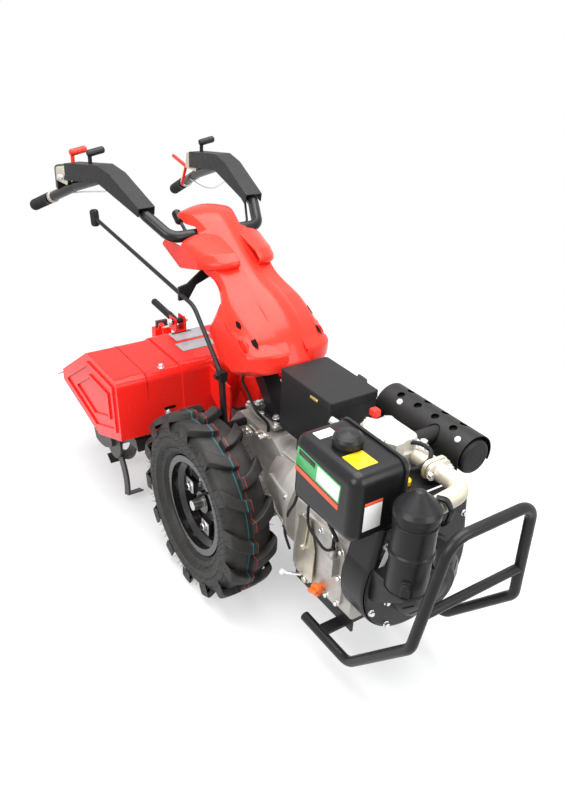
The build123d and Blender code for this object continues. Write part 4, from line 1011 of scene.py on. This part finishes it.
    def fan(self) -> None:
        """Bolts of the blower shroud, near black plates of painted shade in the slots of the recoil starter
        and a blank strip beside them.
        """
        yz = [(-56, 556), (66, 556), (-110, 468), (122, 470), (-128, 286), (128, 286), (-76, 226), (76, 226)]
        spots = np.array([(self.fan_x, y, z) for y, z in yz], float)
        turn = np.arange(6) * math.pi / 3 + 0.4
        rim = np.column_stack((np.full(6, self.fan_x + 8), 99.5 * np.cos(turn),
                               self.crank_z + 99.5 * np.sin(turn)))
        self.fasten("shroud_bolts", (11, 7, 1.5), np.vstack((spots, rim)), FORWARD)
        # Thin near black plates on the recoil housing are painted shade standing in for its open slots.
        shade_plates = []
        for k in range(14):
            spoke = np.array([0.0, math.cos(k * math.pi / 7), math.sin(k * math.pi / 7)])
            spot = np.array([633.0, 0, self.crank_z]) + 73 * spoke
            fall = np.array([0.543, 0, 0]) - 0.84 * spoke
            across = np.cross(fall, np.array([0.84, 0, 0]) + 0.543 * spoke)
            shade_plates.append(slab(rounded(7, 28, 3.4, 4), spot, -across, fall, 0.5, 0.1))
        self.add("recoil_slot_shade", join(shade_plates), DARK_JOINT_AND_SLOT_SHADE)
        hub = lathe([(34, 0), (34, 2.5), (30, 4), (8, 4)], (644, 0, self.crank_z), FORWARD, 40)
        self.add("recoil_badge_blank", hub, BLACK_MOULDING)
        strip = slab(rounded(16, 78, 3), (self.fan_x, -112, 420), (0, 0.94, -0.34), (0, 0.34, 0.94), 0.5, 0.1)
        self.add("shroud_film", strip, LABEL_WHITE)

    def build(self) -> None:
        """Makes all the engine's fittings."""
        self.tank()
        self.head()
        self.intake()
        self.exhaust()
        self.case_side()
        self.fan()


# Drive


@dataclass
class DriveTrim(Trim):
    """Fixings of the gearbox, the battery box's lid and the links on the right of the gearbox."""

    body: str = "chassis"
    cover_z: float = 475.0
    foot_z: float = 485.0
    crank_z: float = 346.0
    axle_z: float = 260.0
    bell_x: float = 248.0
    hitch_x: float = -190.0
    hitch_z: float = 300.0

    def gearbox(self) -> None:
        """Bolts on the cover, the column's foot, the clutch bell, the axle flanges and the hitch."""
        lid = [(x, y, self.cover_z) for x in (-74, -8, 57) for y in (-49, 49)]
        foot = [(x, y, self.foot_z) for x in (-50, 38) for y in (-35, 35)]
        self.fasten("cover_bolts", (13, 8, 2), np.array(lid + foot, float), UP)
        turn = np.arange(10) * math.pi / 5 + math.pi / 10
        bell = np.column_stack((np.full(10, self.bell_x), 139 * np.cos(turn),
                                self.crank_z + 139 * np.sin(turn)))
        self.fasten("bell_bolts", (13, 9, 2), bell, BACKWARD)
        ring = np.arange(6) * math.pi / 3
        for name, side in (("right", -1), ("left", 1)):
            spots = np.column_stack((53 * np.sin(ring), np.full(6, side * 84.0),
                                     self.axle_z + 53 * np.cos(ring)))
            self.fasten(f"axle_flange_bolts_{name}", (11, 7, 1.5), spots, (0, side, 0))
        hitch = [(self.hitch_x, y, self.hitch_z + z) for y in (-47, 47) for z in (-50, 50)]
        self.fasten("hitch_bolts", (19, 12, 2.5), np.array(hitch, float), BACKWARD, ZINC)

    def box(self) -> None:
        """Lip of the battery box's lid and its latch."""
        lip = hoop(rounded(208, 141, 6), (196, 7.5, 655), FORWARD, LEFT, 18, 2)
        self.add("battery_lid_lip", lip, BOX_BLACK)
        latch = slab(rounded(30, 7, 2), (238, -65, 650), FORWARD, UP, 3, 1)
        self.add("battery_latch", latch, BRASS)

    def links(self) -> None:
        """Clutch arm with its clevis and adjusters, and the nuts of the gear link."""
        arm = tube([(30, -72, 452), (30, -88, 452), (64, -92, 470), (96, -92, 476)], 6, 12)
        fork = [slab(rounded(34, 18, 5), (4, y, 446), FORWARD, UP, 5, 1) for y in (-96, -84)]
        self.add("clutch_arm", arm + join(fork), ZINC)
        joint = np.array([(-74, -148, 590), (-56, -142, 440)], float)
        self.fasten("link_nuts", (15, 9, 2), joint, RIGHT, BLACK_STEEL)
        screws = np.array([(-4, -96, 446), (14, -96, 446), (80, -98, 473)], float)
        self.fasten("adjusters", (11, 16, 2), screws, RIGHT)

    def build(self) -> None:
        """Makes all of the drive's fittings."""
        self.gearbox()
        self.box()
        self.links()


# Cowl


@dataclass
class CowlTrim(Trim):
    """Flanks that carry the cowl's ridge out to its wings and ears, and near black plates of painted shade in
    its side openings.

    Each row of stations gives the ridge's X and Z, its lean in degrees, the distance out at which the
    flank's slope ends, the radius of the round edge that follows and the crease's depth below the ridge.
    """

    body: str = "chassis"
    stations: tuple[tuple[float, ...], ...] = (
        (-305, 916, 23, 70, 8, 8.5), (-275, 899, 27, 84, 8, 9), (-235, 878.5, 28, 94, 8, 9),
        (-205, 863, 28, 90, 8, 10), (-180, 850, 28, 80, 8, 12), (-150, 834, 28, 80, 9, 13),
        (-120, 818.6, 28, 85, 15, 11), (-95, 805, 28, 90, 23, 7), (-60, 786.5, 28.5, 92, 31, 1.5),
        (0, 754, 31, 92, 31, 1), (34, 735, 32, 90, 28, 7.5), (54, 718, 43, 82, 24, 10),
        (64, 702, 54, 70, 20, 4.5), (69, 688, 62, 56, 14, -3))
    root_y: float = 24.0
    root_rise: float = 5.5
    crease_y: float = 46.0
    fall: float = 0.36
    sheet: float = 3.0
    hem: float = 28.0
    # Near black lens plates on both flanks: painted shade standing in for the open slots.
    slots: tuple[tuple[float, ...], ...] = ((-37.7, 111.2, 741.7, 15, 6, 51), (18, 98, 714.6, 24, 7, 31))
    plugs: tuple[tuple[float, ...], ...] = ((-66, 116.5, 724, 29, 11, 90), (4, 116.5, 699, 25, 11, 90))
    slope_deg: float = 28.0

    def flank(self, side: int) -> Surface:
        """One flank: across it, the root sunk in the ridge, a straight slope from the crease, a round
        edge out + r sin a, down + r (1 - cos a) + fall r sin a, and a hem, all with a second skin
        one sheet below; along it, the smooth line through the stations.

        Args:
            side: -1 for the machine's right, 1 for its left.

        Returns:
            The closed sheet.
        """
        rows = curve(self.stations, 96)
        tilt, edge, r = np.radians(rows[:, 2]), rows[:, 3:4], rows[:, 4:5]
        down = np.stack((-np.sin(tilt), np.zeros(len(tilt)), -np.cos(tilt)), axis=-1)
        ridge = np.stack((rows[:, 0], np.zeros(len(tilt)), rows[:, 1]), axis=-1)
        crease = rows[:, 5:6]
        root = crease - self.root_rise
        slope = np.linspace(0, 1, 9)[None]
        turn = np.linspace(0, math.pi / 2, 10)[None, 1:]
        out_slope = self.crease_y + (edge - self.crease_y) * slope
        out_round = edge + r * np.sin(turn)
        last = crease + self.fall * (edge - self.crease_y)
        low_round = last + r * (1 - np.cos(turn)) + self.fall * r * np.sin(turn)
        out = np.hstack((np.full_like(root, self.root_y), out_slope, out_round, out_round[:, -1:]))
        low = np.hstack((root, crease + self.fall * (out_slope - self.crease_y), low_round,
                         low_round[:, -1:] + np.maximum(self.hem - r, 1.0)))
        lean = np.hstack((np.zeros((1, 10)), turn, turn[:, -1:]))
        under_out, under_low = out - self.sheet * np.sin(lean), low + self.sheet * np.cos(lean)
        out, low = np.hstack((out, under_out[:, ::-1])), np.hstack((low, under_low[:, ::-1]))
        points = ridge[:, None] + low[..., None] * down[:, None] + out[..., None] * np.array([0.0, side, 0.0])
        return grid(points, wrap_v=True, caps=True)

    def lenses(self, rows: Sequence[Point], thick: float) -> Surface:
        """Lens shaped plates on both flanks: two arcs of half width (1 - t squared) that meet at the tips.

        Args:
            rows: Middle X, distance out, Z, half length, half width and tilt from upright, in degrees.
            thick: How far a plate stands out; it is sunk by half as much again.

        Returns:
            The closed plates of both sides.
        """
        made = []
        t = np.linspace(-1, 1, 16)
        fall = math.radians(self.slope_deg)
        along = np.array([math.cos(fall), 0, -math.sin(fall)])
        rise = np.array([math.sin(fall), 0, math.cos(fall)])
        for x, out, z, length, half, tilt in rows:
            arc = np.stack((length * t, half * (1 - t**2)), axis=-1)
            lens = np.vstack((arc[::-1], -arc[::-1][1:-1]))
            for side in (-1, 1):
                lean = math.radians(tilt)
                away = math.cos(lean) * rise + math.sin(lean) * np.array([0.0, side, 0.0])
                spot = np.array([x, side * out, z]) - 1.5 * thick * away
                made.append(slab(lens, spot, along, np.cross(away, along), 2.5 * thick, 0.3))
        return join(made)

    def build(self) -> None:
        """Makes both flanks, the painted shade of their slots and the plugs in the lower openings."""
        for name, side in (("right", -1), ("left", 1)):
            self.add(f"cowl_flank_{name}", self.flank(side), RED_PLASTIC, 50)
        self.add("cowl_slot_shade", self.lenses(self.slots, 0.8), DARK_JOINT_AND_SLOT_SHADE)
        self.add("cowl_leaf_plugs", self.lenses(self.plugs, 1.2), RED_PLASTIC)


# Tiller


@dataclass
class TillerTrim(Trim):
    """Seams, bolts, blank panels and braces of the tiller's hood."""

    body: str = "chassis"
    seam_y: float = 250.0
    panel_z: float = 518.0
    top_z: float = 513.0
    lever_y: float = -34.0

    def seams(self) -> None:
        """Dark joint over the hood at each bolted end."""
        ends = [(-288, 336), (-302.2, 513.2), (-519.1, 513.2), (-752, 356.4)]
        made = []
        for y in (-self.seam_y, self.seam_y):
            path = bend([(x, y, z) for x, z in ends], (24, 8))
            made.append(carry(path, rounded(2.4, 1.2, 0.4, 2), LEFT))
        self.add("hood_seams", join(made), DARK_JOINT_AND_SLOT_SHADE)

    def fixings(self) -> None:
        """Bolts on the hood's top and front, and painted shade in the two slots by the front bolts."""
        top = np.array([(-328, y, self.top_z) for y in (-193, 193)], float)
        front = np.array([(-289.5, y, 384) for y in (-193, 193)], float)
        bolts = stamp(bolt(13, 8, 2), top, UP) + stamp(bolt(15, 9, 2), front, (1, 0, -0.08))
        self.add("hood_bolts", bolts, BRIGHT)
        # Near black plates in the two front slots are painted shade standing in for the openings.
        slot = [slab(rounded(36, 9, 4), (-289.0, y, 398), LEFT, (0.08, 0, 1), 0.6, 0.1)
                for y in (-186, 186)]
        self.add("hood_slot_shade", join(slot), DARK_JOINT_AND_SLOT_SHADE)

    def panels(self) -> None:
        """Two blank plates on the raised middle of the hood, each with a darker rim."""
        spots = ((-485, -18, 64, 122), (-411, -34, 60, 120))
        rim = [slab(rounded(a, b, 2), (x, y, self.panel_z), FORWARD, LEFT, 0.4, 0.1) for x, y, a, b in spots]
        face = [slab(rounded(a - 4, b - 4, 2), (x, y, self.panel_z), FORWARD, LEFT, 0.6, 0.1)
                for x, y, a, b in spots]
        band = slab(rounded(10, 66, 1), (-508, -34, self.panel_z), FORWARD, LEFT, 0.8, 0.1)
        self.add("hood_panel_rims", join(rim) + band, LABEL_BLACK)
        self.add("hood_panel_faces", join(face), LABEL_GREY)

    def depth(self) -> None:
        """Hook behind the depth lever and the pin between them."""
        y = self.lever_y
        hook = bend([(-622, y, 440), (-630, y, 470), (-642, y, 492), (-660, y, 488), (-664, y, 470)], 9)
        self.add("depth_hook", carry(hook, rounded(12, 9, 3, 3)), RED_STEEL)
        self.add("depth_pin", tube([(-548, y, 528), (-590, y, 506), (-640, y, 482)], 4.5, 12), BRIGHT)
        eye = np.array([(-532, y - 24, 548), (-532, y + 24, 548)], float)
        nuts = stamp(bolt(15, 7, 2), eye[:1], RIGHT) + stamp(bolt(15, 7, 2), eye[1:], LEFT)
        self.add("depth_nuts", nuts, BRIGHT)

    def braces(self) -> None:
        """Red gussets from the hood's front to the hitch flange."""
        outline = np.array([(-58, 108), (56, 84), (62, 60), (62, -34), (40, -40), (-52, 10),
                            (-60, 40)], float)
        made = [slab(outline, (-236, y, 396), FORWARD, UP, 6, 1) for y in (-46, 52)]
        self.add("hitch_gussets", join(made), RED_STEEL)

    def build(self) -> None:
        """Makes all the tiller's fittings."""
        self.seams()
        self.fixings()
        self.panels()
        self.depth()
        self.braces()


# Stage


@dataclass(frozen=True)
class Studio:
    """Floor, soft light and the camera at the photograph's angle."""

    azimuth: float = 0.957627
    elevation: float = 0.508347
    roll: float = 0.0506313
    focal_px: float = 788.35
    image_height_px: float = 800.0
    target: tuple[float, float, float] = (-62.69, 56.09, 466.66)
    distance: float = 2230.33
    sensor: float = 24.0
    clear_from: float = 0.7
    clear_to: float = 1.9
    near_glow: float = 0.45
    sky_level: float = 0.42
    floor_half: float = 12.0

    def stand(self, *columns: Point) -> Matrix:
        """Matrix of three directions and a place."""
        return Matrix(np.vstack((np.column_stack(columns), (0, 0, 0, 1))).tolist())

    def camera(self) -> None:
        """Camera: the view axis from azimuth and elevation, then turned by the roll."""
        a, e = self.azimuth, self.elevation
        back = np.array([math.sin(a) * math.cos(e), -math.cos(a) * math.cos(e), math.sin(e)])
        right = np.cross(-back, UP)
        right /= np.linalg.norm(right)
        upper = np.cross(right, -back)
        c, d = math.cos(self.roll), math.sin(self.roll)
        turn = np.array([[c, d], [-d, c]])
        right, upper = turn @ np.stack((right, upper))
        spot = place(np.array(self.target) + back * self.distance)
        data = bpy.data.cameras.new("camera")
        data.sensor_fit = "VERTICAL"
        data.sensor_height = self.sensor
        data.lens = self.sensor * self.focal_px / self.image_height_px
        data.clip_end = 60.0
        eye = bpy.data.objects.new("camera", data)
        eye.matrix_world = self.stand(right, upper, back, spot)
        bpy.context.scene.collection.objects.link(eye)
        bpy.context.scene.camera = eye

    def seen(self, tree: Tree) -> Socket:
        """Socket that is 1 for camera, glossy and transmission rays.

        Args:
            tree: The node tree that asks.

        Returns:
            The socket.
        """
        path = wire(tree, "LightPath", {})
        total = path.outputs["Is Camera Ray"]
        for name in ("Is Glossy Ray", "Is Transmission Ray"):
            pair = {0: total, 1: path.outputs[name]}
            total = wire(tree, "Math", pair, operation="MAXIMUM").outputs["Value"]
        return total

    def blend(self, tree: Tree, share: Socket, first: Socket, second: Socket, output: str) -> None:
        """Sends a mix of two shaders to the tree's output."""
        mix = wire(tree, "MixShader", {"Fac": share, 1: first, 2: second})
        feed(tree, tree.nodes[output], {"Surface": mix.outputs["Shader"]})

    def sky(self) -> None:
        """World: white to the camera and in reflections, a plain soft level as light."""
        world = bpy.data.worlds.new("studio")
        bpy.context.scene.world = world
        world.use_nodes = True
        tree = world.node_tree
        shown = wire(tree, "Background", {"Color": (1.0, 1.0, 1.0, 1.0)})
        light = tree.nodes["Background"]
        feed(tree, light, {"Color": (0.96, 0.98, 1.0, 1.0), "Strength": self.sky_level})
        self.blend(tree, self.seen(tree), light.outputs["Background"], shown.outputs["Background"],
                   "World Output")

    def floor(self) -> None:
        """Pale floor that keeps the machine's shadow: a matt sheet that turns to white with distance."""
        a = self.floor_half
        mesh = bpy.data.meshes.new("floor")
        mesh.from_pydata([(-a, -a, 0), (a, -a, 0), (a, a, 0), (-a, a, 0)], [], [(0, 1, 2, 3)])
        sheet = bpy.data.objects.new("floor", mesh)
        bpy.context.scene.collection.objects.link(sheet)
        paint = bpy.data.materials.new("pale_floor")
        paint.use_nodes = True
        tree = paint.node_tree
        matt = tree.nodes["Principled BSDF"]
        feed(tree, matt, {"Base Color": (0.86, 0.86, 0.87, 1.0), "Roughness": 0.8})
        glow = wire(tree, "Emission", {"Strength": self.seen(tree)})
        where = wire(tree, "TexCoord", {}).outputs["Object"]
        far = wire(tree, "VectorMath", {0: where}, operation="LENGTH")
        fade = wire(tree, "MapRange", {
            "From Min": self.clear_from, "From Max": self.clear_to, "To Min": self.near_glow,
            "Value": far.outputs["Value"]}, interpolation_type="SMOOTHSTEP")
        shaders = matt.outputs["BSDF"], glow.outputs["Emission"]
        self.blend(tree, fade.outputs["Result"], *shaders, "Material Output")
        mesh.materials.append(paint)

    def lamp(self, name: str, spot: Point, aim: Point, size: float, watts: float) -> None:
        """Square soft lamp at a spot in metres, turned to an aim.

        Args:
            name: Plain name of the lamp.
            spot: Its middle.
            aim: Point that it faces.
            size: Length of a side.
            watts: Its power.
        """
        data = bpy.data.lights.new(name, "AREA")
        data.shape = "SQUARE"
        data.size = size
        data.energy = watts
        lamp = bpy.data.objects.new(name, data)
        axes = basis(np.array([spot], float) - np.array([aim], float), LEFT)
        lamp.matrix_world = self.stand(*(v[0] for v in axes), spot)
        bpy.context.scene.collection.objects.link(lamp)

    def build(self) -> None:
        """Sets the view, the floor and the lights."""
        bpy.context.scene.view_settings.view_transform = "Standard"
        self.camera()
        self.sky()
        self.floor()
        self.lamp("top_softbox", (0.1, 0.0, 3.4), (0.0, 0.0, 0.4), 3.2, 210)
        self.lamp("side_softbox", (1.0, -3.4, 2.2), (0.1, 0.0, 0.4), 2.4, 120)
        self.lamp("front_softbox", (3.6, 0.8, 1.8), (0.2, 0.0, 0.4), 2.2, 70)


def main() -> None:
    """Builds the sub-assemblies in order."""
    logging.basicConfig(level=logging.INFO)
    Studio().build()
    dress_solids()
    for side, body in ((-1, "wheel_right"), (1, "wheel_left")):
        FieldWheel(side, body).build()
    Handles().build()
    EngineTrim().build()
    DriveTrim().build()
    CowlTrim().build()
    TillerTrim().build()


if __name__ == "__main__":
    main()
